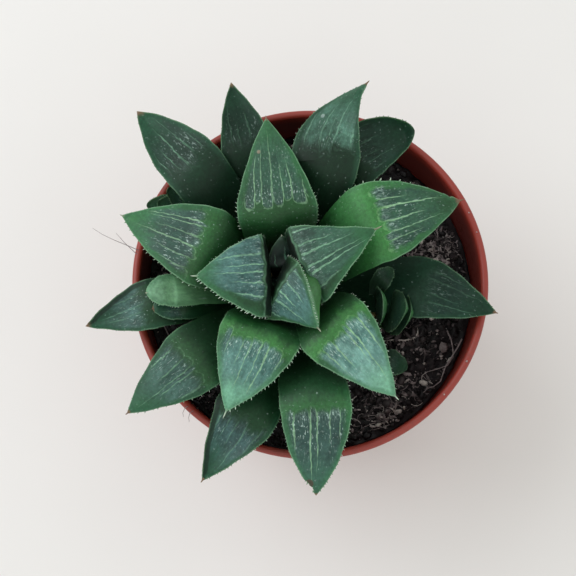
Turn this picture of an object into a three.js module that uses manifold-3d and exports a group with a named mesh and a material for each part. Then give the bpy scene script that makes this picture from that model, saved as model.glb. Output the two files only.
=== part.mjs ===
// Potted haworthia: a rosette of thick keeled leaves with toothed margins and flat windowed
// ends, three young rosettes beside it, and the thin round pot of peat they all grow in.
// Millimetres, +Z up, origin at the centre of the pot's foot. +Y is the far side.
import * as THREE from "three";
import { mergeVertices } from "three/addons/utils/BufferGeometryUtils.js";
import Module from "manifold-3d";

const wasm = await Module();
wasm.setup();

// Clearance kept between pieces that touch on the real plant
const GAP = 0.3;
// Corners closer than this are one corner
const MERGE_DISTANCE = 1e-3;

// Pot
const POT_HEIGHT = 70;
const RIM_RADIUS = 42.5;
const LIP_WIDTH = 1.9;
const LIP_OVERHANG = 0.7;
const LIP_STEPS = 4;
const LIP_HEIGHT = 2.4;
const LIP_UNDERCUT = 0.5;
const COLLAR_HEIGHT = 14;
const COLLAR_TAPER = 0.6;
const COLLAR_STEP = 1.4;
const WALL = 1.2;
const FOOT_RADIUS = 29;
const FOOT_WIDTH = 3;
const FLOOR_THICKNESS = 1.6;
const FLOOR_LIFT = 1.2;
const HUB_RADIUS = 7;
const DRAIN_COUNT = 6;
const DRAIN_RADIUS = 3;
const DRAIN_RING_RADIUS = 16;
const DRAIN_SIDES = 8;
const POT_SIDES = 40;

// Radii and heights of the pot's outside, which the peat inside follows
const COLLAR_TOP_RADIUS = RIM_RADIUS - LIP_OVERHANG;
const COLLAR_LOW_RADIUS = COLLAR_TOP_RADIUS - COLLAR_TAPER;
const BODY_TOP_RADIUS = COLLAR_LOW_RADIUS - COLLAR_STEP;
const STEP_TOP = POT_HEIGHT - COLLAR_HEIGHT;
const STEP_LOW = STEP_TOP - COLLAR_STEP;
const FLOOR_TOP = FLOOR_LIFT + FLOOR_THICKNESS;

// Peat. SOIL_CLEAR is its distance in from the pot's outside, with room for the flat facets.
const SOIL_DEPTH_BELOW_RIM = 13;
const SOIL_TOP = POT_HEIGHT - SOIL_DEPTH_BELOW_RIM;
const SOIL_CLEAR = WALL + GAP * 1.3;
const SOIL_RADIUS = COLLAR_LOW_RADIUS - SOIL_CLEAR;
const SOIL_MOUND = 0.8;
const SOIL_CLODS = 0.7;
const SOIL_SIDES = 36;
const SOIL_RINGS = 9;
// Its clods are a sum of waves, each a share, its run along x and y in radians per
// millimetre, and where it starts
const CLOD_WAVES = [
  [0.5, 0.83, -0.71, 3.27],
  [0.5, 0.83, 0.71, -0.67],
  [0.6, 1.7, -1.1, 0],
  [0.5, 0.9, 2.1, 2],
];

// The rosette's axis, off the pot's centre, and its short stem
const CROWN = new THREE.Vector2(-6.5, -1.5);
const STEM_RADIUS_FOOT = 4.5;
const STEM_RADIUS_LOW = 6.5;
const STEM_RADIUS_TOP = 2.6;
const STEM_BOTTOM = 50;
const STEM_SWELL = 54;
const STEM_SHOULDER = 63;
const STEM_TOP = 74;
const STEM_SIDES = 12;
const ROOT_COUNT = 6;
const ROOT_TURN = 0.3;
const ROOT_LENGTH = 26;
const ROOT_RADIUS = 1.7;
const ROOT_TIP_RADIUS = 0.7;
const ROOT_HEIGHT = 53;
const ROOT_SPREAD_DEG = 38;
const ROOT_SIDES = 6;

// Colours and surface roughness
const LEAF_COLOR = "#2f5a3c";
const OFFSET_COLOR = "#2b4a2c";
const STEM_COLOR = "#8a7a4f";
const SOIL_COLOR = "#2a1e18";
const POT_COLOR = "#9c4a3c";
const LEAF_ROUGHNESS = 0.45;
const STEM_ROUGHNESS = 0.8;
const PEAT_ROUGHNESS = 1;
const POT_ROUGHNESS = 0.45;

// Leaf shape shared by the whole rosette. A leaf runs from v = -1 at its base over 0 at the
// knee to 1 at its tip, and from u = -1 to 1 between its margins.
const UP = new THREE.Vector3(0, 0, 1);
const AROUND_HALF = 4;
const LEAF_STATIONS = [-1, -0.66, -0.34, -0.1, 0.08, 0.28, 0.48, 0.68, 0.85, 0.96];
const OFFSET_STATIONS = [-1, -0.4, 0, 0.4, 0.75, 0.94];

// Bend of a leaf: the handles at both ends of its two curves as shares of their chords, how
// steeply it leaves the stem, how much of the rise is left at the knee, and the droop at the tip
const RISE_HANDLES = [0.35, 0.22];
const BLADE_HANDLES = [0.25, 0.35];
const BASE_STEEPNESS = 0.75;
const KNEE_RISE = 0.45;
const TIP_DROOP = 0.1;
const TWIST_RUN = 0.8;

// Section of a leaf: thin at the base and tip, round below at the base and keeled at the tip
const BASE_DEPTH_SHARE = 0.45;
const TIP_THICKNESS = 0.5;
const THINNING_POWER = 1.15;
const KEEL_POWERS = [2.1, 1.2];
const KEEL_START = -0.3;
const KEEL_RUN = 1.1;
const SWELL_PLACE = -0.05;
const SWELL_SPREAD = 0.28;
const FLANK_PLACE = 0.7;
const FLANK_SPREAD = 0.42;
const BASE_HOLLOW_SHARE = 0.17;
const BASE_HOLLOW_START = -0.3;
const BASE_HOLLOW_RUN = 0.5;
const CUP_START = 0.1;
const CUP_RUN = 0.4;
const CUP_END = 0.85;
const CUP_END_RUN = 0.15;

// A grown leaf's margins go out and up by these shares more, so that it holds the leaf whole
const MARGIN_GROWTH = 1.7;
const MARGIN_LIFT = 0.8;
const POINT_GROWTH = 2;

// Teeth on the margins: height over the edge, depth in it, and lean toward the tip
const TOOTH_HEIGHT = 0.6;
const TOOTH_ROOT = 0.8;
const TOOTH_RADIUS = 0.42;
const TOOTH_SIDES = 3;
const TOOTH_LEAN = 0.45;
const TEETH_START = -0.1;
const TEETH_RUN = 0.98;
const EDGE_STEP = 0.02;

// Each leaf of the main rosette, innermost first. knee is where the upper face bends from the
// rise into the flat end, and tip is its point: radius from the axis, azimuth from +X in
// degrees and height over the foot. width and depth are the leaf's at the knee; taper shapes
// the margins (1 straight, 2 round) and blunt below 1 rounds off the tip; swell bulges the
// upper face at the knee and cup is the depth of its channel further out; roll turns the
// blade about its length at knee and tip; bow bends it sideways and flank bulges its
// underside past the left and right margins. The base stands baseRadius out from the axis,
// turned from the knee's azimuth by baseTurn.
const LEAVES = [
  {
    foot: 71, knee: [3.2, 72, 83], tip: [8.6, 92, 86.5], width: 10.5, depth: 2.4, teeth: 2,
    baseRadius: 0.8,
  },
  {
    foot: 70, knee: [1.5, 238, 79], tip: [3.4, 236, 82], width: 6, depth: 1.8, teeth: 2,
    baseRadius: 0.8,
  },
  {
    foot: 69, knee: [4.6, 268, 87.5], tip: [16.1, 300, 90.5], width: 15.5,
    depth: 6, taper: 1.3, roll: [30, 42], flank: [1.2, 0.05], baseRadius: 3.5,
    baseTurn: -34,
  },
  { foot: 69, knee: [6, 12, 90], tip: [23.3, 23, 91], width: 19, depth: 5.4, taper: 1.2 },
  { foot: 69, knee: [5.4, 195, 89], tip: [19.8, 185, 90], width: 19, depth: 5.4, taper: 1.6 },
  { foot: 66, knee: [16, 250.5, 87], tip: [34.2, 248, 84], width: 18.5 },
  { foot: 66, knee: [17.5, 312, 87], tip: [38.2, 312, 84], width: 17.5 },
  { foot: 66, knee: [14.5, 95, 86], tip: [38, 96, 83], width: 18.5, taper: 1.65 },
  { foot: 65.5, knee: [19, 161, 86], tip: [40.2, 159, 82], width: 19 },
  { foot: 65.5, knee: [24, 28.5, 87], tip: [45.2, 23.5, 82], width: 19.5 },
  { foot: 62.5, knee: [27.5, 224, 82], tip: [47.6, 221.5, 79], width: 16 },
  { foot: 62.5, knee: [30.5, 284, 83], tip: [50.8, 278.5, 80], width: 16.2, taper: 2.3 },
  {
    foot: 62.5, knee: [29.5, 70, 82], tip: [51.7, 67, 80], width: 16.5,
    bow: -3, roll: [0, -40],
  },
  {
    foot: 62.5, knee: [32.5, 128.5, 82], tip: [53.5, 130.5, 79], width: 14.5,
    taper: 2.3, cup: 0.8,
  },
  {
    foot: 60, knee: [32, 359, 72.5], tip: [50.6, 351.5, 75.5], width: 15,
    depth: 6, cup: 0.8,
  },
  {
    foot: 65, knee: [25, 187, 81], tip: [31.6, 188, 84], width: 8, depth: 3,
    taper: 2.4, blunt: 0.6, teeth: 3,
  },
  {
    foot: 64, knee: [24, 194, 77], tip: [31, 193.5, 79.5], width: 7, depth: 2.5,
    taper: 2.4, blunt: 0.6, teeth: 3,
  },
  { foot: 60, knee: [31, 190.5, 77.5], tip: [47.3, 193, 75.5], width: 12, cup: 0.8 },
  {
    foot: 60, knee: [32.5, 255, 79], tip: [50.3, 248.5, 77.5], width: 15,
    taper: 1.6, cup: 1,
  },
  { foot: 60, knee: [32, 105, 79], tip: [49.8, 104.5, 78], width: 12.5, cup: 0.6 },
  {
    foot: 60, knee: [33, 60, 77], tip: [47.9, 49.2, 78], width: 14,
    bow: -1.4, taper: 2.6, blunt: 0.62, cup: 2, roll: [0, 10],
  },
];
const LEAF_DEFAULTS = {
  depth: 7, taper: 1.8, blunt: 1, swell: 1.2, cup: -0.5, roll: [0, 0], bow: 0, flank: [0.05, 0.05], teeth: 5,
  baseShare: 0.58, baseRadius: 2.5, baseTurn: 0, stations: LEAF_STATIONS,
};

// Young rosettes beside the plant: where each stalk stands, its top, and its leaves round it
const OFFSETS = [
  {
    name: "offset_right", at: [14.6, -7.2], stalk: 66,
    leaves: [
      { foot: 63.6, knee: [1.2, 5, 74], tip: [1.9, 5, 81.5], width: 9 },
      { foot: 62.5, knee: [4.8, 351, 72.5], tip: [7.5, 351, 78.5], width: 10.2 },
      { foot: 60.5, knee: [6.5, 350, 70.5], tip: [8.9, 350, 76], width: 10.4 },
      { foot: 62, knee: [6.8, 72, 74], tip: [9.9, 62, 76.3], width: 4.8 },
    ],
  },
  {
    name: "offset_lower_right", at: [13.8, -15.4], stalk: 60.5,
    leaves: [
      { foot: 59.5, knee: [5.5, 330, 61.8], tip: [10.6, 332, 64], width: 6.5 },
      { foot: 59.5, knee: [4, 285, 62.2], tip: [7, 283, 65], width: 5.5 },
    ],
  },
  {
    name: "offset_upper_left", at: [-26, 15.5], stalk: 65,
    leaves: [
      { foot: 63.5, knee: [4.5, 140, 74], tip: [9.2, 148, 78], width: 6.5 },
      { foot: 62, knee: [5, 168, 72.5], tip: [10.4, 170, 76.5], width: 6.5 },
      { foot: 60.5, knee: [6, 160, 69.5], tip: [13.2, 171, 73.5], width: 7 },
    ],
  },
];
const OFFSET_LEAF = {
  depth: 2, taper: 2.2, blunt: 0.6, swell: 0.3, cup: 0.4, teeth: 0, baseShare: 0.36,
  baseRadius: 0.5, stations: OFFSET_STATIONS,
};
const STALK_RADIUS = 1.8;
const STALK_TOP_SHARE = 0.7;
const STALK_BOTTOM = 50;
const STALK_SIDES = 8;

function smooth(x) {
  const t = THREE.MathUtils.clamp(x, 0, 1);
  return t * t * (3 - 2 * t);
}

function polar(centre, [radius, azimuth, height]) {
  const a = THREE.MathUtils.degToRad(azimuth);
  return new THREE.Vector3(centre.x + radius * Math.cos(a), centre.y + radius * Math.sin(a), height);
}

// The two curves a leaf's upper face follows along its middle: the rise and the blade
function leafCurves(leaf) {
  const knee = polar(leaf.centre, leaf.knee);
  const tip = polar(leaf.centre, leaf.tip);
  const base = polar(leaf.centre, [leaf.baseRadius, leaf.knee[1] + leaf.baseTurn, leaf.foot]);
  const rise = knee.clone().sub(base);
  const blade = tip.clone().sub(knee);
  const riseLength = rise.length();
  const bladeLength = blade.length();
  const start = new THREE.Vector3(rise.x, rise.y, rise.z * BASE_STEEPNESS).normalize();
  const bend = rise.normalize().multiplyScalar(KNEE_RISE).add(blade.normalize()).normalize();
  const end = blade.clone();
  end.z -= TIP_DROOP;
  end.normalize();
  const bow = blade.clone().cross(UP).normalize().multiplyScalar(leaf.bow);
  return {
    base,
    knee,
    tip,
    rise: new THREE.CubicBezierCurve3(
      base,
      base.clone().addScaledVector(start, riseLength * RISE_HANDLES[0]),
      knee.clone().addScaledVector(bend, -riseLength * RISE_HANDLES[1]),
      knee,
    ),
    blade: new THREE.CubicBezierCurve3(
      knee,
      knee.clone().addScaledVector(bend, bladeLength * BLADE_HANDLES[0]).add(bow),
      tip.clone().addScaledVector(end, -bladeLength * BLADE_HANDLES[1]).add(bow),
      tip,
    ),
  };
}

// Place, tangent, side and face normal of a leaf at v: -1 at the base, 0 knee, 1 tip
function leafFrame(leaf, curves, v) {
  const curve = v < 0 ? curves.rise : curves.blade;
  const t = v < 0 ? 1 + v : v;
  const place = curve.getPoint(t);
  const along = curve.getTangent(t);
  const riseSide = curves.knee.clone().sub(curves.base).cross(UP).normalize();
  const bladeSide = curves.tip.clone().sub(curves.knee).cross(UP).normalize();
  const side = riseSide.lerp(bladeSide, smooth((v + TWIST_RUN) / TWIST_RUN));
  side.addScaledVector(along, -side.dot(along)).normalize();
  const twist = smooth((v + 1) / TWIST_RUN);
  const roll = THREE.MathUtils.lerp(leaf.roll[0], leaf.roll[1], smooth(v)) * twist;
  side.applyAxisAngle(along, THREE.MathUtils.degToRad(roll));
  const face = side.clone().cross(along);
  return { place, along, side, face };
}

function halfWidth(leaf, v) {
  const full = leaf.width / 2;
  if (v < 0) {
    return full * THREE.MathUtils.lerp(leaf.baseShare, 1, smooth(1 + v));
  }
  return full * (1 - v ** leaf.taper) ** leaf.blunt;
}

function thickness(leaf, v) {
  if (v < 0) {
    return leaf.depth * THREE.MathUtils.lerp(BASE_DEPTH_SHARE, 1, smooth(1 + v));
  }
  return TIP_THICKNESS + (leaf.depth - TIP_THICKNESS) * (1 - v ** THINNING_POWER);
}

// Depth of the channel along the upper face at v, or below zero a low crown
function channel(leaf, v) {
  const end = 1 - smooth((v - CUP_END) / CUP_END_RUN);
  return leaf.cup * smooth((v - CUP_START) / CUP_RUN) * end;
}

// Height of the upper face over the margins, across the leaf at u from -1 to 1
function upperFace(leaf, u, v) {
  const swell = leaf.swell * Math.exp(-(((v - SWELL_PLACE) / SWELL_SPREAD) ** 2));
  const basal = smooth((BASE_HOLLOW_START - v) / BASE_HOLLOW_RUN);
  const hollow = BASE_HOLLOW_SHARE * leaf.depth * basal;
  return (1 - u * u) * (swell - hollow - channel(leaf, v));
}

// Depth of the underside below the margins: round near the base, keeled toward the tip, and
// pushed down by the channel above it
function underside(leaf, u, v) {
  const power = THREE.MathUtils.lerp(...KEEL_POWERS, smooth((v - KEEL_START) / KEEL_RUN));
  const fold = Math.max(0, channel(leaf, v)) * (1 - u * u);
  return thickness(leaf, v) * (1 - Math.abs(u) ** power) + fold;
}

// A point of the leaf's surface. grow swells the leaf by that much on every side.
function leafPoint(leaf, curves, u, v, lower, grow) {
  const { place, along, side, face } = leafFrame(leaf, curves, v);
  const wide = halfWidth(leaf, v) + grow * MARGIN_GROWTH;
  const surface = lower ? -underside(leaf, u, v) - grow : upperFace(leaf, u, v) + grow;
  const high = Math.abs(u) === 1 ? grow * MARGIN_LIFT : surface;
  const bulge = lower ? leaf.flank[u < 0 ? 0 : 1] * Math.sin(Math.PI * u) : 0;
  const fullness = Math.exp(-(((v - FLANK_PLACE) / FLANK_SPREAD) ** 2));
  place.addScaledVector(side, wide * (u + bulge * fullness));
  place.addScaledVector(along, v === -1 ? -grow : 0);
  return place.addScaledVector(face, high);
}

// A leaf as one closed mesh of rings round its length, with a point at the tip
function leafGeometry(leaf, grow = 0) {
  const curves = leafCurves(leaf);
  const { stations } = leaf;
  const around = AROUND_HALF * 2;
  const positions = [];
  for (const v of stations) {
    for (let i = 0; i < around; i += 1) {
      const lower = i > AROUND_HALF;
      const u = lower ? 3 - (2 * i) / AROUND_HALF : (2 * i) / AROUND_HALF - 1;
      positions.push(...leafPoint(leaf, curves, u, v, lower, grow));
    }
  }
  const indices = [];
  for (let k = 0; k + 1 < stations.length; k += 1) {
    for (let i = 0; i < around; i += 1) {
      const a = k * around + i;
      const b = k * around + ((i + 1) % around);
      indices.push(a, b, b + around, a, b + around, a + around);
    }
  }
  const baseCentre = positions.length / 3;
  const { along, face } = leafFrame(leaf, curves, -1);
  const inset = curves.base.clone().addScaledVector(face, -thickness(leaf, -1) / 2);
  positions.push(...inset.addScaledVector(along, -grow));
  const end = leafFrame(leaf, curves, 1);
  positions.push(...curves.tip.clone().addScaledVector(end.along, grow * POINT_GROWTH));
  const lastRing = (stations.length - 1) * around;
  for (let i = 0; i < around; i += 1) {
    const next = (i + 1) % around;
    indices.push(baseCentre, next, i);
    indices.push(baseCentre + 1, lastRing + i, lastRing + next);
  }
  return indexedGeometry(positions, indices);
}

function indexedGeometry(positions, indices) {
  const geometry = new THREE.BufferGeometry();
  geometry.setAttribute("position", new THREE.Float32BufferAttribute(positions, 3));
  geometry.setIndex(indices);
  return geometry;
}

// The pointed teeth along both margins of a leaf, each a three-sided cone sunk into the edge
function leafTeeth(leaf, grow) {
  const curves = leafCurves(leaf);
  const teeth = [];
  for (const edge of [-1, 1]) {
    for (let i = 0; i < leaf.teeth; i += 1) {
      const v = TEETH_START + (TEETH_RUN * (i + 0.5)) / leaf.teeth;
      const next = v + EDGE_STEP;
      const at = leafFrame(leaf, curves, v);
      const ahead = leafFrame(leaf, curves, next);
      const margin = at.place.addScaledVector(at.side, edge * halfWidth(leaf, v));
      const onward = ahead.place.addScaledVector(ahead.side, edge * halfWidth(leaf, next));
      const run = onward.sub(margin).normalize();
      const outward = at.side.clone().multiplyScalar(edge);
      outward.addScaledVector(run, -outward.dot(run)).normalize();
      outward.addScaledVector(run, TOOTH_LEAN).normalize();
      const height = TOOTH_HEIGHT + TOOTH_ROOT + 2 * grow;
      const tooth = new THREE.ConeGeometry(TOOTH_RADIUS + grow, height, TOOTH_SIDES);
      tooth.translate(0, height / 2 - TOOTH_ROOT, 0);
      const turn = new THREE.Quaternion().setFromUnitVectors(new THREE.Vector3(0, 1, 0), outward);
      tooth.applyQuaternion(turn);
      tooth.translate(margin.x, margin.y, margin.z);
      teeth.push(tooth);
    }
  }
  return teeth;
}

function solidOf(geometry) {
  const bare = geometry.clone();
  bare.deleteAttribute("normal");
  bare.deleteAttribute("uv");
  const merged = mergeVertices(bare, MERGE_DISTANCE);
  const corners = merged.index.array;
  const triVerts = [];
  for (let i = 0; i < corners.length; i += 3) {
    const [a, b, c] = corners.slice(i, i + 3);
    if (a !== b && b !== c && c !== a) {
      triVerts.push(a, b, c);
    }
  }
  const mesh = new wasm.Mesh({
    numProp: 3,
    vertProperties: new Float32Array(merged.attributes.position.array),
    triVerts: new Uint32Array(triVerts),
  });
  return new wasm.Manifold(mesh);
}

// The largest connected body of a solid, as a geometry. Triangles joined along an edge are of
// one body: the loose scraps of a cut and the hollows that a join seals are left out.
function geometryOf(solid) {
  const raw = solid.getMesh();
  const whole = solidOf(indexedGeometry([...raw.vertProperties], [...raw.triVerts]).toNonIndexed());
  const { vertProperties, triVerts } = whole.getMesh();
  const points = vertProperties.length / 3;
  const triangles = triVerts.length / 3;
  const across = new Map();
  for (let i = 0; i < triVerts.length; i += 1) {
    const next = i % 3 === 2 ? i - 2 : i + 1;
    across.set(triVerts[next] * points + triVerts[i], Math.floor(i / 3));
  }
  const corner = (i) => new THREE.Vector3().fromArray(vertProperties, triVerts[i] * 3);
  const seen = new Array(triangles).fill(false);
  let largest = { volume: 0, members: [] };
  for (let start = 0; start < triangles; start += 1) {
    const members = seen[start] ? [] : [start];
    seen[start] = true;
    let volume = 0;
    for (const t of members) {
      volume += corner(3 * t).dot(corner(3 * t + 1).cross(corner(3 * t + 2))) / 6;
      for (let k = 0; k < 3; k += 1) {
        const from = triVerts[3 * t + k];
        const to = triVerts[3 * t + ((k + 1) % 3)];
        const neighbour = across.get(from * points + to);
        if (!seen[neighbour]) {
          seen[neighbour] = true;
          members.push(neighbour);
        }
      }
    }
    if (volume > largest.volume) {
      largest = { volume, members };
    }
  }
  const indices = largest.members.flatMap((t) => [...triVerts.slice(3 * t, 3 * t + 3)]);
  return mergeVertices(indexedGeometry([...vertProperties], indices).toNonIndexed(), MERGE_DISTANCE);
}

const group = new THREE.Group();

function addPiece(name, solid, color, roughness) {
  const material = new THREE.MeshStandardMaterial({ color, roughness, metalness: 0 });
  const mesh = new THREE.Mesh(geometryOf(solid), material);
  mesh.name = name;
  group.add(mesh);
}

// A round solid from a profile of [radius, height] points that starts and ends on the axis
function turned(points, sides) {
  const profile = points.map(([radius, height]) => new THREE.Vector2(radius, height));
  return new THREE.LatheGeometry(profile, sides).rotateX(Math.PI / 2);
}

// Outer radius of the pot's tapered body at a height over its foot
function bodyRadius(height) {
  return FOOT_RADIUS + (height / STEP_LOW) * (BODY_TOP_RADIUS - FOOT_RADIUS);
}

// The pot: hub and foot ring on the ground, tapered wall, step, collar and rounded lip
function potSolid() {
  const lip = LIP_WIDTH / 2;
  const lipLow = POT_HEIGHT - LIP_HEIGHT;
  const outline = [
    [0, 0],
    [HUB_RADIUS, 0],
    [HUB_RADIUS, FLOOR_LIFT],
    [FOOT_RADIUS - FOOT_WIDTH, FLOOR_LIFT],
    [FOOT_RADIUS - FOOT_WIDTH, 0],
    [FOOT_RADIUS, 0],
    [BODY_TOP_RADIUS, STEP_LOW],
    [COLLAR_LOW_RADIUS, STEP_TOP],
    [COLLAR_TOP_RADIUS, lipLow],
    [RIM_RADIUS, lipLow + LIP_UNDERCUT],
  ];
  for (let i = 0; i <= LIP_STEPS; i += 1) {
    const a = (Math.PI * i) / LIP_STEPS;
    outline.push([RIM_RADIUS - lip + lip * Math.cos(a), POT_HEIGHT - lip + lip * Math.sin(a)]);
  }
  outline.push([COLLAR_LOW_RADIUS - WALL, STEP_TOP]);
  outline.push([BODY_TOP_RADIUS - WALL, STEP_LOW]);
  outline.push([bodyRadius(FLOOR_TOP) - WALL, FLOOR_TOP]);
  outline.push([0, FLOOR_TOP]);
  let pot = solidOf(turned(outline, POT_SIDES));
  for (let i = 0; i < DRAIN_COUNT; i += 1) {
    const a = (2 * Math.PI * (i + 0.5)) / DRAIN_COUNT;
    const hole = new THREE.CylinderGeometry(DRAIN_RADIUS, DRAIN_RADIUS, 3 * FLOOR_TOP, DRAIN_SIDES);
    hole.rotateX(Math.PI / 2);
    hole.translate(DRAIN_RING_RADIUS * Math.cos(a), DRAIN_RING_RADIUS * Math.sin(a), 0);
    pot = pot.subtract(solidOf(hole));
  }
  return pot;
}

// Height of the peat at a place: a low mound round the plant, rough with small clods
function peatHeight(x, y) {
  const r = Math.hypot(x, y);
  const mound = SOIL_MOUND * (1 - smooth(r / SOIL_RADIUS));
  let clods = 0;
  let most = 0;
  for (const [share, alongX, alongY, phase] of CLOD_WAVES) {
    clods += share * Math.sin(alongX * x + alongY * y + phase);
    most += share;
  }
  return SOIL_TOP + mound + (SOIL_CLODS * clods) / most;
}

// The peat: fills the pot to just below its rim, with a clod-rough top
function soilSolid() {
  const bottom = FLOOR_TOP + GAP;
  const outline = [
    [0, bottom],
    [bodyRadius(bottom) - SOIL_CLEAR, bottom],
    [BODY_TOP_RADIUS - SOIL_CLEAR, STEP_LOW - GAP],
    [SOIL_RADIUS, STEP_TOP],
  ];
  for (let i = SOIL_RINGS; i > 0; i -= 1) {
    outline.push([(SOIL_RADIUS * i) / SOIL_RINGS, SOIL_TOP]);
  }
  outline.push([0, SOIL_TOP]);
  const peat = turned(outline, SOIL_SIDES);
  const place = peat.attributes.position;
  for (let i = 0; i < place.count; i += 1) {
    if (Math.abs(place.getZ(i) - SOIL_TOP) < MERGE_DISTANCE) {
      place.setZ(i, peatHeight(place.getX(i), place.getY(i)));
    }
  }
  return solidOf(peat);
}

// The stem with its thick roots, or with grow the room that it takes up
function stemSolid(grow = 0) {
  const outline = [
    [0, STEM_BOTTOM - grow],
    [STEM_RADIUS_FOOT + grow, STEM_BOTTOM - grow],
    [STEM_RADIUS_LOW + grow, STEM_SWELL],
    [STEM_RADIUS_LOW + grow, STEM_SHOULDER],
    [STEM_RADIUS_TOP + grow, STEM_TOP + grow],
    [0, STEM_TOP + grow],
  ];
  let stem = solidOf(turned(outline, STEM_SIDES));
  const length = ROOT_LENGTH + grow;
  for (let i = 0; i < ROOT_COUNT; i += 1) {
    const root = new THREE.CylinderGeometry(
      ROOT_RADIUS + grow, ROOT_TIP_RADIUS + grow, length, ROOT_SIDES,
    );
    root.translate(0, -length / 2, 0);
    root.rotateX(Math.PI / 2);
    root.rotateY(-THREE.MathUtils.degToRad(ROOT_SPREAD_DEG));
    root.rotateZ((2 * Math.PI * (i + ROOT_TURN)) / ROOT_COUNT);
    root.translate(0, 0, ROOT_HEIGHT);
    stem = stem.add(solidOf(root));
  }
  return stem.translate([CROWN.x, CROWN.y, 0]);
}

// A leaf with its teeth, or with grow the room that it takes up
function leafSolid(leaf, grow = 0) {
  let solid = solidOf(leafGeometry(leaf, grow));
  for (const tooth of leafTeeth(leaf, grow)) {
    solid = solid.add(solidOf(tooth));
  }
  return solid;
}

// The stalk of a young rosette, which stands in the peat
function stalkSolid(offset, grow = 0) {
  const height = offset.stalk - STALK_BOTTOM + 2 * grow;
  const radius = STALK_RADIUS + grow;
  const stalk = new THREE.CylinderGeometry(radius * STALK_TOP_SHARE, radius, height, STALK_SIDES);
  stalk.rotateX(Math.PI / 2);
  stalk.translate(offset.at[0], offset.at[1], (offset.stalk + STALK_BOTTOM) / 2);
  return solidOf(stalk);
}

// Leaves lie against each other, so each outer one is cut to the room that is left
let taken = stemSolid(GAP);
addPiece("stem", stemSolid(), STEM_COLOR, STEM_ROUGHNESS);

function addLeaf(name, leaf, color) {
  addPiece(name, leafSolid(leaf).subtract(taken), color, LEAF_ROUGHNESS);
  taken = taken.add(leafSolid(leaf, GAP));
}

LEAVES.forEach((entry, i) => {
  const name = `leaf_${String(i + 1).padStart(2, "0")}`;
  addLeaf(name, { ...LEAF_DEFAULTS, ...entry, centre: CROWN }, LEAF_COLOR);
});
for (const offset of OFFSETS) {
  const centre = new THREE.Vector2(...offset.at);
  addPiece(`${offset.name}_stalk`, stalkSolid(offset).subtract(taken), STEM_COLOR, STEM_ROUGHNESS);
  taken = taken.add(stalkSolid(offset, GAP));
  offset.leaves.forEach((entry, i) => {
    const leaf = { ...LEAF_DEFAULTS, ...OFFSET_LEAF, ...entry, centre };
    addLeaf(`${offset.name}_leaf_${i + 1}`, leaf, OFFSET_COLOR);
  });
}
addPiece("soil", soilSolid().subtract(taken), SOIL_COLOR, PEAT_ROUGHNESS);
addPiece("pot", potSolid(), POT_COLOR, POT_ROUGHNESS);

export default group;
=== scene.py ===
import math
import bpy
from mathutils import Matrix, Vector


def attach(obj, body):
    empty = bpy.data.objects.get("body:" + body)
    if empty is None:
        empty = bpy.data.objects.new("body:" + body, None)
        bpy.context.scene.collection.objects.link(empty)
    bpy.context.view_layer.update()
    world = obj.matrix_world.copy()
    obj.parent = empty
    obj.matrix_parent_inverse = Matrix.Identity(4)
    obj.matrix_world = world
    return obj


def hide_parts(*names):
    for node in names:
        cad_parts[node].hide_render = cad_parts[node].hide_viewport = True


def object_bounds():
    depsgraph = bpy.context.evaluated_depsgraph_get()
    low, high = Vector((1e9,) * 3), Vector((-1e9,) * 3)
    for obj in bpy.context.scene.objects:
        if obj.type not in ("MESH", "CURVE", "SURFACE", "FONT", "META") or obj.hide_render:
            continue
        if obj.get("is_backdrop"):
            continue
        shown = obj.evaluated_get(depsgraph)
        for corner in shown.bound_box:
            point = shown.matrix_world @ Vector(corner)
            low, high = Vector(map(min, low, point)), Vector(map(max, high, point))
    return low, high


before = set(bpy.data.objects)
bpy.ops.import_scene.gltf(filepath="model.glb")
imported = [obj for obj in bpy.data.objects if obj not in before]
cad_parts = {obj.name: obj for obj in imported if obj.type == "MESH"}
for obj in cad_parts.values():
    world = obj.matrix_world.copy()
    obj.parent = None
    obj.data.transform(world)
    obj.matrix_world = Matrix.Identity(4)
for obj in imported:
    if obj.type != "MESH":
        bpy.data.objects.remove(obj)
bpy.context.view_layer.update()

# %% [markdown]
# # A potted haworthia
# A small succulent in a thin nursery pot: a rosette of thick leaves whose flat ends are
# windows of clear tissue, with pale veins between them and tiny teeth along the edges.
# The imported CAD model gives the place and the form of every piece. Here each piece is made
# again with a fine mesh and a procedural material, in metres and in the same frame.

# %% Tools and units
from types import SimpleNamespace

import bmesh
import bpy
import numpy as np
from mathutils import Vector, noise
from mathutils.bvhtree import BVHTree

MM = 0.001

# %% [markdown]
# ## Camera
# The plant is seen from almost straight above. The lens and place were worked out from the
# pot's round rim, which shows as a slightly flattened circle. The camera is a real object
# with a focal length, so perspective makes the high leaves larger than the low ones.

# %% Camera
CAMERA_PLACE_MM = (-5.32, -79.05, 442.08)
CAMERA_TILT_DEG = 11.72
CAMERA_LENS_MM = 99.85
CAMERA_SENSOR_MM = 36
CAMERA_SEES_M = (0.01, 20)

camera = bpy.data.objects.new("camera", bpy.data.cameras.new("camera"))
bpy.context.scene.collection.objects.link(camera)
camera.location = [c * MM for c in CAMERA_PLACE_MM]
camera.rotation_euler = (math.radians(CAMERA_TILT_DEG), 0, 0)
camera.data.sensor_width = CAMERA_SENSOR_MM
camera.data.sensor_fit = "HORIZONTAL"
camera.data.lens = CAMERA_LENS_MM
camera.data.clip_start, camera.data.clip_end = CAMERA_SEES_M
bpy.context.scene.camera = camera
print("camera height over the floor:", round(camera.location.z, 3), "m")

# %% [markdown]
# ## Small helpers for colours and nodes
# Colours are written as sRGB hex values, as a paint chart gives them, and the renderer
# wants linear light, so one function converts them. Another adds a shader node with its
# settings, values and links in one line, which keeps each material readable as a recipe.

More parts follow.
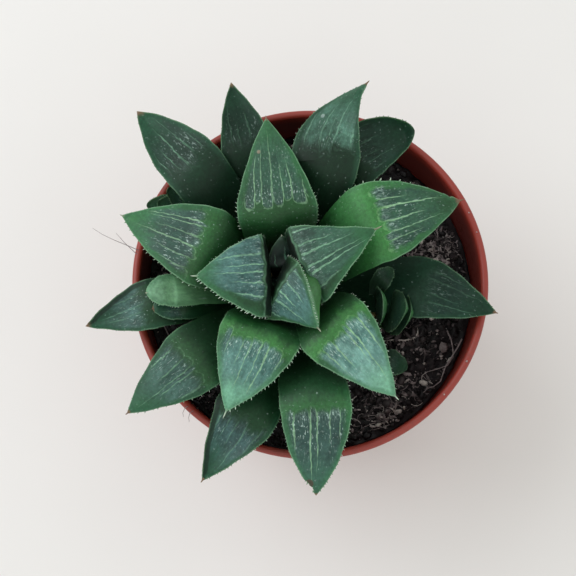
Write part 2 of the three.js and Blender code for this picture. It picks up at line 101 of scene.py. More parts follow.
# %% Helpers for colours and nodes
def colour(hex_value):
    """An sRGB hex value as linear red, green, blue and alpha."""
    parts = [int(hex_value[i : i + 2], 16) / 255 for i in (1, 3, 5)]
    linear = [c / 12.92 if c <= 0.04045 else ((c + 0.055) / 1.055) ** 2.4 for c in parts]
    return (*linear, 1.0)


def add(tree, kind, feeds=None, out=0, **settings):
    """A new shader node's output. feeds gives inputs a value or another node's output."""
    node = tree.nodes.new("ShaderNode" + kind)
    for name, value in settings.items():
        setattr(node, name, value)
    for place, value in (feeds or {}).items():
        if isinstance(value, bpy.types.NodeSocket):
            tree.links.new(value, node.inputs[place])
        else:
            node.inputs[place].default_value = value
    return node.outputs[out] if node.outputs else node


def empty_material(name):
    """A new material without nodes, and its node tree."""
    material = bpy.data.materials.new(name)
    material.use_nodes = True
    material.node_tree.nodes.clear()
    return material, material.node_tree


# Settings that many nodes share: a mix of two colours, and a step with soft shoulders
COLOURS = {"out": 2, "data_type": "RGBA"}
SOFT = {"interpolation_type": "SMOOTHSTEP"}
print("middle grey in linear light:", round(colour("#808080")[0], 3))

# %% [markdown]
# ## Floor
# The pot stands on a plain, pale, matte board, which throws light back up from below. A
# large plane is enough. It is declared as stage, so it isn't part of the plant.

# %% Floor
FLOOR_SIZE = 4.0

floor_material, tree = empty_material("pale_matte_board")
speckle = add(tree, "TexNoise", {"Scale": 60.0, "Detail": 3.0})
shade = add(tree, "Mix", {0: speckle, 6: colour("#e1e0dc"), 7: colour("#e7e6e2")}, **COLOURS)
shader = add(tree, "BsdfPrincipled", {"Base Color": shade, "Roughness": 0.7})
add(tree, "OutputMaterial", {"Surface": shader})

bpy.ops.mesh.primitive_plane_add(size=FLOOR_SIZE)
floor = bpy.context.object
floor.name = "floor"
floor.data.materials.append(floor_material)
floor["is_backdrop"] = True
print("floor:", FLOOR_SIZE, "m square")

# %% [markdown]
# ## Window light and room light
# The real light is a large window at the upper left: highlights are wide and faint, and
# the shadow is a soft grey to the right. A small lamp would make that shadow hard, so a big
# area light stands in for the window, and a pale world for the walls of the room.

# %% Lights
WINDOW_PLACE = (-0.88, 0.4, 0.98)
WINDOW_SIZE = 1.1
WINDOW_WATTS = 8.5
ROOM_STRENGTH = 0.975

window = bpy.data.objects.new("window_light", bpy.data.lights.new("window_light", "AREA"))
bpy.context.scene.collection.objects.link(window)
window.location = WINDOW_PLACE
window.rotation_euler = (-Vector(WINDOW_PLACE)).to_track_quat("-Z", "Y").to_euler()
window.data.size = WINDOW_SIZE
window.data.energy = WINDOW_WATTS
window.data.color = colour("#f4f8ff")[:3]

room = bpy.data.worlds.new("pale_room")
room.use_nodes = True
bpy.context.scene.world = room
room.node_tree.nodes["Background"].inputs["Color"].default_value = colour("#f3f3f2")
room.node_tree.nodes["Background"].inputs["Strength"].default_value = ROOM_STRENGTH
bpy.context.scene.view_settings.view_transform = "Standard"
print("window light:", WINDOW_WATTS, "W, room:", ROOM_STRENGTH)

# %% [markdown]
# ## The shape of a leaf
# A leaf rises from the stem, bends at a knee and ends in a flat triangle. Sculpting thirty
# of them by hand would not keep the CAD sizes, so each is a formula: v runs from -1 at the
# base over 0 at the knee to 1 at the tip, and u from -1 to 1 between the margins. Two
# Bezier curves give the middle line, and a width, a thickness and a crown give the rest.

# %% The middle line of a leaf
CROWN = (-6.5, -1.5)
UP = np.array([0.0, 0.0, 1.0])


def smooth(x):
    t = np.clip(x, 0, 1)
    return t * t * (3 - 2 * t)


def blend(a, b, share):
    return a + (b - a) * share


def unit(vectors):
    return vectors / np.linalg.norm(vectors, axis=-1, keepdims=True)


def polar(centre, radius, azimuth, height):
    a = math.radians(azimuth)
    return np.array([centre[0] + radius * math.cos(a), centre[1] + radius * math.sin(a), height])


def bezier(a, b, c, d, t):
    """Points and directions of a cubic Bezier curve at the values t."""
    t = t[:, None]
    s = 1 - t
    place = a * s**3 + 3 * b * s * s * t + 3 * c * s * t * t + d * t**3
    along = (b - a) * s * s + 2 * (c - b) * s * t + (d - c) * t * t
    return place, unit(along)


def leaf_frame(leaf, v):
    """Middle line of the upper face at v, with its directions along, aside and outward."""
    knee = polar(leaf["centre"], *leaf["knee"])
    tip = polar(leaf["centre"], *leaf["tip"])
    base_turn = leaf["knee"][1] + leaf["base_turn"]
    base = polar(leaf["centre"], leaf["base_radius"], base_turn, leaf["foot"])
    rise = knee - base
    blade = tip - knee
    rise_length = np.linalg.norm(rise)
    blade_length = np.linalg.norm(blade)
    start = unit(rise * [1, 1, 0.75])
    bend = unit(unit(rise) * 0.45 + unit(blade))
    end = unit(unit(blade) - UP * 0.1)
    bow = unit(np.cross(blade, UP)) * leaf["bow"]
    low, low_along = bezier(
        base, base + start * rise_length * 0.35, knee - bend * rise_length * 0.22, knee,
        np.clip(1 + v, 0, 1),
    )
    high, high_along = bezier(
        knee, knee + bend * blade_length * 0.25 + bow,
        tip - end * blade_length * 0.35 + bow, tip, np.clip(v, 0, 1),
    )
    rising = (v < 0)[:, None]
    place = np.where(rising, low, high)
    along = np.where(rising, low_along, high_along)
    aside = blend(
        unit(np.cross(rise, UP)), unit(np.cross(blade, UP)), smooth((v + 0.8) / 0.8)[:, None]
    )
    aside = unit(aside - along * (aside * along).sum(1, keepdims=True))
    roll = blend(leaf["roll"][0], leaf["roll"][1], smooth(v)) * smooth((v + 1) / 0.8)
    angle = np.radians(roll)[:, None]
    aside = aside * np.cos(angle) + np.cross(along, aside) * np.sin(angle)
    return place, along, aside, np.cross(aside, along), blade_length


print("knee to tip of a leaf is where v goes from 0 to 1")

# %% [markdown]
# ## The section of a leaf
# Near the base a leaf is round below and hollow above; toward the tip it is keeled. The
# formulas are those of the CAD solid, so the fine leaf fills the same space. What the
# solid leaves out is added: a finer tip, uneven edges, sunken windows and raised veins.

# %% The section of a leaf
def half_width(leaf, v):
    full = leaf["width"] / 2
    low = full * blend(leaf["base_share"], 1, smooth(1 + v))
    out = np.clip(1 - np.clip(v, 0, 1) ** leaf["taper"], 0, 1) ** leaf["blunt"]
    return np.where(v < 0, low, full * out)


def thickness(leaf, v):
    low = leaf["depth"] * blend(0.45, 1, smooth(1 + v))
    high = 0.5 + (leaf["depth"] - 0.5) * (1 - np.clip(v, 0, 1) ** 1.15)
    return np.where(v < 0, low, high)


def channel(leaf, v):
    return leaf["cup"] * smooth((v - 0.1) / 0.4) * (1 - smooth((v - 0.85) / 0.15))


def upper_face(leaf, u, v):
    swell = leaf["swell"] * np.exp(-(((v + 0.05) / 0.28) ** 2))
    hollow = 0.17 * leaf["depth"] * smooth((-0.3 - v) / 0.5)
    return (1 - u * u) * (swell - hollow - channel(leaf, v))


def underside(leaf, u, v):
    power = blend(2.1, 1.2, smooth((v + 0.3) / 1.1))
    fold = np.maximum(0, channel(leaf, v)) * (1 - u * u)
    return thickness(leaf, v) * (1 - np.abs(u) ** power) + fold


print("thickness at the knee of a 7 mm leaf:", float(thickness({"depth": 7}, np.zeros(1))[0]))

# %% [markdown]
# ## Veins and windows as numbers on the mesh
# The veins run almost along the leaf and draw together at the tip, with clear panes
# between them. Their pattern has to follow the leaf, so the mesh carries three sets of
# numbers: the place on the leaf, the count of veins across it, and the distance in
# millimetres. The material draws from them, and the mesh raises the veins by them too.

# %% Veins of a leaf
VEIN_SPACING = 2.5
VEIN_HEIGHT = 0.07
PANE_DEPTH = 0.05


def vein_numbers(leaf, u, v, rng):
    """The count across the veins, and how far v is from the end of the vein there."""
    across = u * half_width(leaf, np.zeros(1)) * (np.maximum(half_width(leaf, v), 0.05)
        / half_width(leaf, np.zeros(1))) ** 0.55 * np.ones_like(v)
    count = int(leaf["width"] / VEIN_SPACING / 2) + 3
    spots = (np.arange(-count, count + 1) + rng.uniform(-0.36, 0.36, 2 * count + 1)
        + rng.uniform(-0.3, 0.3)) * VEIN_SPACING
    ends = rng.uniform(0.5, 0.95, 2 * count + 1)
    ends *= 1 - 0.42 * np.abs(spots / (leaf["width"] / 2)) ** 1.5
    wander = (0.17 * np.sin(v * 4.3 + u * 3 + leaf["seed"])
        + 0.09 * np.sin(v * 15 - u * 7 + 2 * leaf["seed"])
        + 0.06 * np.sin(v * 41 + u * 19) + 0.04 * np.sin(v * 67 + leaf["seed"]))
    number = np.interp(across + wander, spots, np.arange(2 * count + 1.0))
    end = np.interp(number, np.arange(2 * count + 1.0), ends)
    return number, end - v


print("panes across an 18 mm leaf:", round(18 / VEIN_SPACING))

# %% [markdown]
# ## The mesh of a leaf
# The leaf is a closed skin of rings round its length. Rings are closer together on the
# blade, where the veins show. It is built straight from arrays of points, because that
# keeps the numbers of each point with it, and takes a few milliseconds a leaf.

# %% The mesh of a leaf
EDGE_UNEVENNESS = 0.16
# Points of the upper face stand closer together toward the margins by this share
TOP_CROWDING = 0.8
# Where along the blade the flanks bulge most, and how far that reaches
FLANK_PLACE = 0.7
FLANK_SPREAD = 0.42


def uneven_width(leaf, side, v):
    """Half the width at v, with the small waves of the edge on that side, -1 or 1."""
    phase = leaf["seed"] * 1.7
    waves = EDGE_UNEVENNESS * (np.sin(v * 9 + phase + side) * 0.6
        + np.sin(v * 23 + 2 * phase - side * 2) * 0.4)
    return half_width(leaf, v) + waves * smooth((1 - v) / 0.2) * smooth((v + 1) / 0.3)


def leaf_rings(leaf):
    """Points of the leaf's rings in mm, and their numbers."""
    rng = np.random.default_rng(leaf["seed"])
    rise_rings, blade_rings, above, below = leaf["fineness"]
    v = np.concatenate([np.linspace(-1, 0, rise_rings, endpoint=False),
        1 - (1 - np.linspace(0, 1, blade_rings, endpoint=False)) ** 1.15])
    place, along, aside, outward, blade_length = leaf_frame(leaf, v)
    top = np.sin(np.linspace(-1, 1, above + 1) * math.pi / 2 * TOP_CROWDING)
    top = top / math.sin(math.pi / 2 * TOP_CROWDING)
    bottom = np.linspace(1, -1, below + 1)[1:-1]
    u = np.concatenate([top, bottom])
    lower = np.arange(len(u)) > above
    V, U = np.meshgrid(v, u, indexing="ij")
    close = np.sqrt(np.clip((1 - V) / 0.05, 0, 1))
    wide = uneven_width(leaf, np.sign(U), V)
    phase = leaf["seed"] * 1.7
    for side, nick_start, nick_end, nick_depth in leaf["nicks"]:
        bite = smooth((V - nick_start) / 0.03) * smooth((nick_end - V) / 0.03)
        ragged = 0.6 + 0.4 * np.sin(V * 130 + phase) * np.sin(V * 57)
        wide = wide - np.where(U * side > 0, bite * ragged * nick_depth, 0) * np.abs(U)
    flank = np.where(U < 0, leaf["flank"][0], leaf["flank"][1])
    bulge = np.where(lower, flank * np.sin(math.pi * U), 0)
    sideways = wide * (U + bulge * np.exp(-(((V - FLANK_PLACE) / FLANK_SPREAD) ** 2)))
    number, rest = vein_numbers(leaf, U, V, rng)
    ridge = np.exp(-(((number - np.round(number)) / 0.09) ** 2)) * smooth(rest / 0.15)
    window = smooth((V - 0.04) / 0.08) * smooth((0.9 - V) / 0.3)
    window = window * smooth((0.9 - np.abs(U)) / 0.15)
    waves = 0.12 * np.sin(U * 3.1 + phase) * np.sin(V * 4.3 + phase * 2) * (1 - U * U)
    high = upper_face(leaf, U, V) + leaf["relief"] * window * (VEIN_HEIGHT * ridge - PANE_DEPTH)
    high = high + waves * smooth((1 - V) / 0.3)
    low = -underside(leaf, U, V) - waves
    height = np.where(lower, low, high) * close
    height = np.where(np.abs(U) == 1, 0, height)
    wavy = leaf["knee_waves"] * np.exp(-((V / 0.13) ** 2)) * (1 - U * U) * ~lower * (
        np.sin(U * 11 + phase) * 0.6 + np.sin(U * 23 + 2 * phase) * 0.4)
    points = (place[:, None] + aside[:, None] * sideways[..., None]
        + outward[:, None] * height[..., None] + along[:, None] * wavy[..., None])
    edge = (1 - np.abs(U)) * wide
    numbers = {
        "leaf_place": np.stack([U, V, lower * smooth(edge / 0.3)], -1),
        "leaf_veins": np.stack([number, rest, edge], -1),
        "leaf_grain": np.stack(
            [sideways, V * blade_length, np.full_like(V, leaf["seed"] * 7.3)], -1
        ),
    }
    return points, numbers


def leaf_body(leaf):
    """The closed skin of a leaf: points, faces and the numbers of each point."""
    points, numbers = leaf_rings(leaf)
    rings, around, _ = points.shape
    faces = []
    for k in range(rings - 1):
        for i in range(around):
            j = (i + 1) % around
            a, b = k * around + i, k * around + j
            faces.append((a, b, b + around, a + around))
    spots = points.reshape(-1, 3)
    flat = {name: values.reshape(-1, 3) for name, values in numbers.items()}
    for k, order in ((0, -1), (rings - 1, 1)):
        ring = np.arange(around) + k * around
        middle = len(spots)
        spots = np.vstack([spots, leaf_frame(leaf, np.array([1.0]))[0] if k else points[0].mean(0)])
        for name in flat:
            centre = flat[name][ring].mean(0)
            flat[name] = np.vstack([flat[name], centre])
        for i in range(around):
            a, b = int(ring[i]), int(ring[(i + 1) % around])
            faces.append((a, b, middle) if order > 0 else (b, a, middle))
    return spots, faces, flat


def make_mesh(name, spots, faces, numbers=None):
    """A mesh from points in mm, with its named numbers on each point."""
    mesh = bpy.data.meshes.new(name)
    mesh.from_pydata((np.asarray(spots) * MM).tolist(), [], faces)
    for key, values in (numbers or {}).items():
        layer = mesh.attributes.new(key, "FLOAT_VECTOR", "POINT")
        layer.data.foreach_set("vector", np.asarray(values, np.float32).ravel())
    mesh.shade_smooth()
    return mesh


def place_piece(name, mesh, material, slot, *nodes):
    """Puts a finished mesh in the scene as a piece that replaces CAD nodes."""
    piece = bpy.data.objects.new(name, mesh)
    bpy.context.scene.collection.objects.link(piece)
    mesh.materials.clear()
    mesh.materials.append(material)
    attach(piece, "root")
    if nodes:
        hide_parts(*nodes)
    return piece


print("a leaf's numbers: place, veins, grain")

# %% [markdown]
# ## Leaves that lie against each other
# On the plant each outer leaf is pressed against the ones inside it. A fine leaf made by
# the formula would run through its neighbours, so it is cut by them, as the CAD solids
# are. The Boolean modifier with the manifold solver does that and keeps the numbers on the
# mesh. Scraps that a cut leaves on the far side of a neighbour are dropped.

# %% Cutting a leaf by its neighbours
shown_scene = bpy.context.scene
BOX_MARGIN = 0.2 * MM


def boxes_meet(a, b):
    """True if two meshes' boxes overlap."""
    corners = []
    for mesh in (a, b):
        spots = np.empty(len(mesh.vertices) * 3, np.float32)
        mesh.vertices.foreach_get("co", spots)
        spots = spots.reshape(-1, 3)
        corners.append((spots.min(0), spots.max(0)))
    (low_a, high_a), (low_b, high_b) = corners
    return bool(np.all(low_a < high_b + BOX_MARGIN) and np.all(low_b < high_a + BOX_MARGIN))


def keep_largest_island(mesh):
    """Removes all but the largest connected part of a mesh."""
    made = bmesh.new()
    made.from_mesh(mesh)
    seen, islands = set(), []
    for start in made.faces:
        if start in seen:
            continue
        island, heap = [], [start]
        seen.add(start)
        while heap:
            face = heap.pop()
            island.append(face)
            for edge in face.edges:
                for other in edge.link_faces:
                    if other not in seen:
                        seen.add(other)
                        heap.append(other)
        islands.append(island)
    islands.sort(key=lambda island: sum(face.calc_area() for face in island))
    scraps = [face for island in islands[:-1] for face in island]
    if scraps:
        bmesh.ops.delete(made, geom=scraps, context="FACES")
        made.to_mesh(mesh)
    made.free()


def cut_by(mesh, cutters):
    """The mesh without the space that the cutter meshes fill."""
    for cutter_mesh in cutters:
        if not boxes_meet(mesh, cutter_mesh):
            continue
        body = bpy.data.objects.new("body", mesh)
        cutter = bpy.data.objects.new("cutter", cutter_mesh)
        for part in (body, cutter):
            shown_scene.collection.objects.link(part)
        change = body.modifiers.new("cut", "BOOLEAN")
        change.operation = "DIFFERENCE"
        change.solver = "MANIFOLD"
        change.object = cutter
        seen = body.evaluated_get(bpy.context.evaluated_depsgraph_get())
        made = bpy.data.meshes.new_from_object(seen)
        for part in (body, cutter):
            bpy.data.objects.remove(part)
        if len(made.vertices) > 0:
            made.name = mesh.name
            mesh = made
    keep_largest_island(mesh)
    return mesh


print("boolean solver: manifold")

# %% [markdown]
# ## Teeth and awn
# The margins carry a row of pale, horn-like teeth, most of them under a millimetre long and
# leaning toward the tip, and most leaves of the rosette end in a small bristle, the awn.
# They could be painted, but they cast shadows and break the outline, so they are small
# closed cones.

# %% Teeth and awn of a leaf
TOOTH_SPACING = 1.25
TOOTH_LEAN = 0.5
TOOTH_ROOT = 0.3
SMALLEST_TOOTH = 0.08
MARGIN_STEPS = 400
AWN_ROOT = 0.9
AWN_RADIUS = 0.24


def small_cone(foot, direction, root, height, radius, sides, bend=None):
    """A closed cone: points in mm and faces. It starts root below foot."""
    direction = unit(direction)
    across = unit(np.cross(direction, UP + 0.01))
    other = np.cross(direction, across)
    spots = []
    turns = np.arange(sides) * 2 * math.pi / sides
    for share, width in ((-root, radius), (height * 0.45, radius * 0.52)):
        for a in turns:
            ring = foot + direction * share + (across * math.cos(a) + other * math.sin(a)) * width
            spots.append(ring)
    point = foot + direction * height
    if bend is not None:
        point = point + bend
    spots.append(point)
    faces = [tuple(range(sides))[::-1]]
    for i in range(sides):
        j = (i + 1) % sides
        faces.append((i, j, sides + j, sides + i))
        faces.append((sides + i, sides + j, 2 * sides))
    return spots, faces


def leaf_teeth(leaf, skin):
    """The teeth on the margins that the cuts left, and the awn: points, faces, numbers."""
    rng = np.random.default_rng(leaf["seed"] + 500)
    tree = BVHTree.FromPolygons(
        [v.co / MM for v in skin.vertices], [tuple(p.vertices) for p in skin.polygons]
    )
    spots, faces, numbers = [], [], []
    v = np.linspace(leaf["teeth_from"], 0.975, MARGIN_STEPS)
    place, _, aside, outward, _ = leaf_frame(leaf, v)
    phase = leaf["seed"] * 1.7
    for side in (-1, 1):
        wide = uneven_width(leaf, side, v)
        edge = place + aside * (side * wide)[:, None]
        length = np.concatenate([[0], np.cumsum(np.linalg.norm(np.diff(edge, axis=0), axis=1))])
        spot = rng.uniform(0.2, 0.9)
        while spot < length[-1] - 0.3:
            i = int(np.searchsorted(length, spot))
            spot += leaf["tooth_gap"] * rng.uniform(0.6, 1.5)
            size = leaf["tooth"][0 if side < 0 else 1] * rng.uniform(0.4, 1.25)
            size *= 1 - 0.8 * float(smooth((v[i] - leaf["teeth_fade"]) / 0.3))
            near = tree.find_nearest(Vector(edge[i]))
            if near[0] is None or near[3] > 0.25 or size < SMALLEST_TOOTH:
                continue
            run = unit(edge[min(i + 1, MARGIN_STEPS - 1)] - edge[i - 1])
            out = aside[i] * side
            out = unit(out - run * (out @ run))
            lean = TOOTH_LEAN + rng.uniform(-0.2, 0.25)
            direction = unit(out + run * lean + outward[i] * rng.uniform(-0.1, 0.25))
            radius = 0.1 + 0.17 * size
            made, made_faces = small_cone(edge[i], direction, TOOTH_ROOT, size, radius, 4)
            faces += [tuple(len(spots) + k for k in face) for face in made_faces]
            spots += made
            for k in range(len(made)):
                out_by = (0.15, -0.35 * size, -size)[min(k // 4, 2)]
                numbers.append((side, v[i], 0, 0.5, -1, out_by, side * wide[i], spot, phase))
    if leaf["awn"]:
        end, run, _, outward, _ = leaf_frame(leaf, np.array([1.0]))
        made, made_faces = small_cone(
            end[0], run[0] + outward[0] * leaf["awn_lift"], AWN_ROOT, leaf["awn"],
            AWN_RADIUS, 6, bend=outward[0] * leaf["awn"] * 0.12,
        )
        faces += [tuple(len(spots) + k for k in face) for face in made_faces]
        spots += made
        for k in range(len(made)):
            numbers.append((0, 1.02, 0, 0.5, -1, (0.0, -0.3, -0.6)[min(k // 6, 2)], 0, 0, phase))
    numbers = np.array(numbers).reshape(-1, 9)
    names = ("leaf_place", "leaf_veins", "leaf_grain")
    return spots, faces, {name: numbers[:, 3 * k : 3 * k + 3] for k, name in enumerate(names)}


def join_meshes(first, second):
    """Adds the second mesh's points, faces and numbers to the first."""
    made = bmesh.new()
    made.from_mesh(first)
    made.from_mesh(second)
    made.to_mesh(first)
    made.free()
    first.shade_smooth()
    return first


CREASE_DEG = 38
print("teeth every", TOOTH_SPACING, "mm, sharp edges over", CREASE_DEG, "degrees")

# %% [markdown]
# ## Living leaf tissue: patterns
# A succulent leaf is a waxy skin over watery cells, and every mark on it follows the leaf.
# A flat picture wrapped round it would need an unwrapped map of each leaf, so noise
# textures are used instead. They read the distances in millimetres that stand on the mesh,
# so that mottling, milky cells and dashes have the same real size on every leaf.

# %% Patterns of the leaf tissue
SKIN_CELL_MM = 0.12
GRAIN_MM = 0.45
DASH_MM = (0.19, 0.65)
MILK_MM = (0.9, 2.2)
MOTTLE_MM = (1.6, 3.6)
BROAD_PER_MM = 0.13
SPECK_SPACING_MM = 0.8


def leaf_patterns(tree):
    """Where a point is on its leaf, and the patterns there: a set of nodes' outputs."""
    place, veins, grain = (
        add(tree, "Attribute", out=1, attribute_name=name)
        for name in ("leaf_place", "leaf_veins", "leaf_grain")
    )
    at = SimpleNamespace(grain=grain)
    at.u, at.v, at.under = add(tree, "SeparateXYZ", {0: place}).node.outputs
    at.number, at.rest, at.edge = add(tree, "SeparateXYZ", {0: veins}).node.outputs
    at.above = add(tree, "Math", {0: 1.0, 1: at.under}, operation="SUBTRACT")
    at.beyond_knee = add(tree, "MapRange", {0: at.v, 1: -0.3, 2: 0.1}, **SOFT)
    patterns = []
    for (wide, long), detail in ((MOTTLE_MM, 2.0), (MILK_MM, 5.0), (DASH_MM, 2.0)):
        stretched = add(
            tree, "VectorMath", {0: grain, 1: (1 / wide, 1 / long, 1)}, operation="MULTIPLY",
        )
        patterns.append(add(
            tree, "TexNoise",
            {"Vector": stretched, "Scale": 0.6, "Detail": detail, "Roughness": 0.6},
        ))
    at.mottle, at.milk, at.dashes = patterns
    at.cells = add(tree, "TexNoise", {"Vector": grain, "Scale": 1 / SKIN_CELL_MM, "Detail": 1.0})
    at.broad = add(tree, "TexNoise", {"Vector": grain, "Scale": BROAD_PER_MM, "Detail": 2.0})
    # Groups of skin cells: single ones are too small to show, so these are drawn coarser
    at.groups = add(tree, "TexNoise", {"Vector": grain, "Scale": 0.7 / GRAIN_MM, "Detail": 3.0})
    return at


print("skin cells:", SKIN_CELL_MM, "mm, dashes:", DASH_MM, "mm")

# %% [markdown]
# ## Living leaf tissue: windows
# The flat end of a leaf is a window: clear panes between the veins, with no green just under
# the skin. Each pane starts at a place of its own, so the start line is lobed and frayed. It
# could be cut as an edge in the mesh, but a real one is soft, so it is a soft step of a
# number. The window also stops short of the margins and of the tip, which are solid tissue.

# %% Windows of a leaf
def find_panes(tree, look, at):
    """Adds how far a point is from the nearest vein, and from where its pane begins."""
    part = add(tree, "Math", {0: at.number}, operation="FRACT")
    centred = add(tree, "Math", {0: part, 1: 0.5}, operation="SUBTRACT")
    at.off_centre = add(tree, "Math", {0: centred}, operation="ABSOLUTE")
    chances = []
    for rounding, seed_step in (("FLOOR", 3.1), ("ROUND", 5.3)):
        whole = add(tree, "Math", {0: at.number}, operation=rounding)
        seed = add(tree, "Math", {0: whole, 1: look["seed"] * seed_step}, operation="ADD")
        chances.append(add(tree, "TexWhiteNoise", {"W": seed}, noise_dimensions="1D"))
    at.pane_chance, at.vein_chance = chances
    lobe = add(tree, "Math", {0: at.off_centre, 1: 2.0}, operation="MULTIPLY")
    lobe = add(tree, "Math", {0: lobe, 1: 4.0}, operation="POWER")
    start = add(tree, "Math", {
        0: at.mottle, 1: look["fray"], 2: look["start"] - look["fray"] / 2,
    }, operation="MULTIPLY_ADD")
    at.past_start = add(tree, "Math", {0: at.v, 1: start}, operation="SUBTRACT")
    uneven = add(tree, "Math", {0: lobe, 1: 0.05}, operation="MULTIPLY")
    uneven = add(tree, "Math", {0: at.pane_chance, 1: 0.09, 2: uneven}, operation="MULTIPLY_ADD")
    uneven = add(tree, "Math", {0: uneven, 1: look["lobes"]}, operation="MULTIPLY")
    at.inside = add(tree, "Math", {0: at.past_start, 1: uneven}, operation="SUBTRACT")


def open_window(tree, look, at):
    """Adds the window: past its start line, in from the margins, short of the solid tip."""
    at.open_start = add(tree, "MapRange", {0: at.inside, 1: -0.01, 2: look["soft"]}, **SOFT)
    leaned = add(tree, "Math", {0: at.u, 1: look["lean"]}, operation="SUBTRACT")
    outward = add(tree, "Math", {0: leaned}, operation="ABSOLUTE")
    ragged = add(tree, "Math", {0: at.milk, 1: 0.3, 2: outward}, operation="MULTIPLY_ADD")
    at.open_sides = add(tree, "MapRange", {0: ragged, 1: 0.86, 2: 1.06, 3: 1.0, 4: 0.0}, **SOFT)
    at.tip_place = add(tree, "Math", {0: at.mottle, 1: 0.35, 2: at.v}, operation="MULTIPLY_ADD")
    open_end = add(tree, "MapRange", {
        0: at.tip_place, 1: look["end"] - 0.15, 2: look["end"] + 0.25, 3: 1.0, 4: 0.0,
    }, **SOFT)
    at.glass = at.open_start
    for limit in (at.open_sides, open_end, at.above):
        at.glass = add(tree, "Math", {0: at.glass, 1: limit}, operation="MULTIPLY")
    at.window = add(tree, "Math", {0: at.glass, 1: look["window"]}, operation="MULTIPLY")


print("a window is a soft step across its start line")

# %% [markdown]
# ## Living leaf tissue: layers
# Each mark is a layer: a share from 0 to 1 that says where it shows, and its colour. They
# are laid over the plain green one after another, as a painter glazes, because then each
# can be judged alone. First come the greens, the bright band where a window begins, and
# the underside. One big formula would be shorter, but hard to change.

# %% Layers of green
def green_layers(tree, look, at):
    """Green from the heart outward: past the knee, at the plain tip, along the margins.

    Below it lies low, the heart end's green darkened as painted shade.
    """
    from_knee = {0: at.v, 1: look["shade"], 2: look["start"] + 0.02}
    past_knee = add(tree, "MapRange", from_knee, **SOFT)
    to_tip = add(tree, "MapRange", {0: at.tip_place, 1: 0.35, 2: 1.0}, **SOFT)
    side_zone = add(tree, "MapRange", {0: at.edge, 1: 0.3, 2: 2.0, 3: 0.5, 4: 0.0}, **SOFT)
    side_zone = add(tree, "Math", {0: side_zone, 1: at.beyond_knee}, operation="MULTIPLY")
    shares = {"base": past_knee, "tip": to_tip, "side": side_zone}
    return [(share, colour(look[key])) for key, share in shares.items()]


def band_layer(tree, look, at):
    """The yellow-green band where the window begins, drawn out along the veins."""
    frayed = add(tree, "Math", {0: at.milk, 1: 0.3, 2: at.past_start}, operation="MULTIPLY_ADD")
    at.band = add(tree, "MapRange", {0: frayed, 1: 0.0, 2: 0.17}, **SOFT)
    fading = add(tree, "MapRange", {0: frayed, 1: 0.2, 2: 0.36, 3: 1.0, 4: 0.0}, **SOFT)
    for share in (fading, at.above, look["band"]):
        at.band = add(tree, "Math", {0: at.band, 1: share}, operation="MULTIPLY")
    return at.band, colour("#3c7a3d")


def underside_layer(tree, look, at):
    """The underside: plain green with faint long lines of lighter cells."""
    streaks = add(tree, "MapRange", {0: at.mottle, 1: 0.45, 2: 0.7, 3: 0.0, 4: 0.5})
    under, side = colour(look["under"]), colour(look["side"])
    return at.under, add(tree, "Mix", {0: streaks, 6: under, 7: side}, **COLOURS)


print("a layer is a share and a colour")

# %% [markdown]
# ## Living leaf tissue: panes, flecks and veins
# Light goes in through the panes, so they look dark blue-grey where they are clear, and
# milky where the cells hold air. Their blue-grey and milk are also in part painted
# reflection of the pale room, put into the colour. Flecks and frost are cells that hold
# air close under the skin. The veins are pale lines of solid tissue, half a millimetre
# wide where they start and thinner outward. All this could be volumes with cells inside,
# but light that scatters in thirty volumes renders slowly, so the colour of the skin shows it.

# %% Layers of the window
def pane_layer(tree, look, at):
    """Panes: dark and clear where they start, and milky further out.

    Their blue-grey and milk are in part painted reflection of the pale room.
    """
    milky = add(tree, "MapRange", {0: at.milk, 1: 0.34, 2: 0.66, 3: -0.36, 4: 0.36})
    wisps = add(tree, "MapRange", {0: at.dashes, 1: 0.3, 2: 0.7, 3: -0.11, 4: 0.11})
    outward = add(tree, "MapRange", {0: at.past_start, 1: 0.0, 2: 0.5, 3: 0.1, 4: 0.6})
    clouded = add(tree, "Math", {0: milky, 1: outward}, operation="ADD")
    clouded = add(tree, "Math", {0: wisps, 1: clouded}, operation="ADD")
    clouded = add(
        tree, "Math", {0: at.pane_chance, 1: 0.25, 2: clouded},
        operation="MULTIPLY_ADD", use_clamp=True,
    )
    # Both colours are in part painted reflection of the pale room.
    pane, milk = colour(look["pane"]), colour(look["milk"])
    return at.window, add(tree, "Mix", {0: clouded, 6: pane, 7: milk}, **COLOURS)


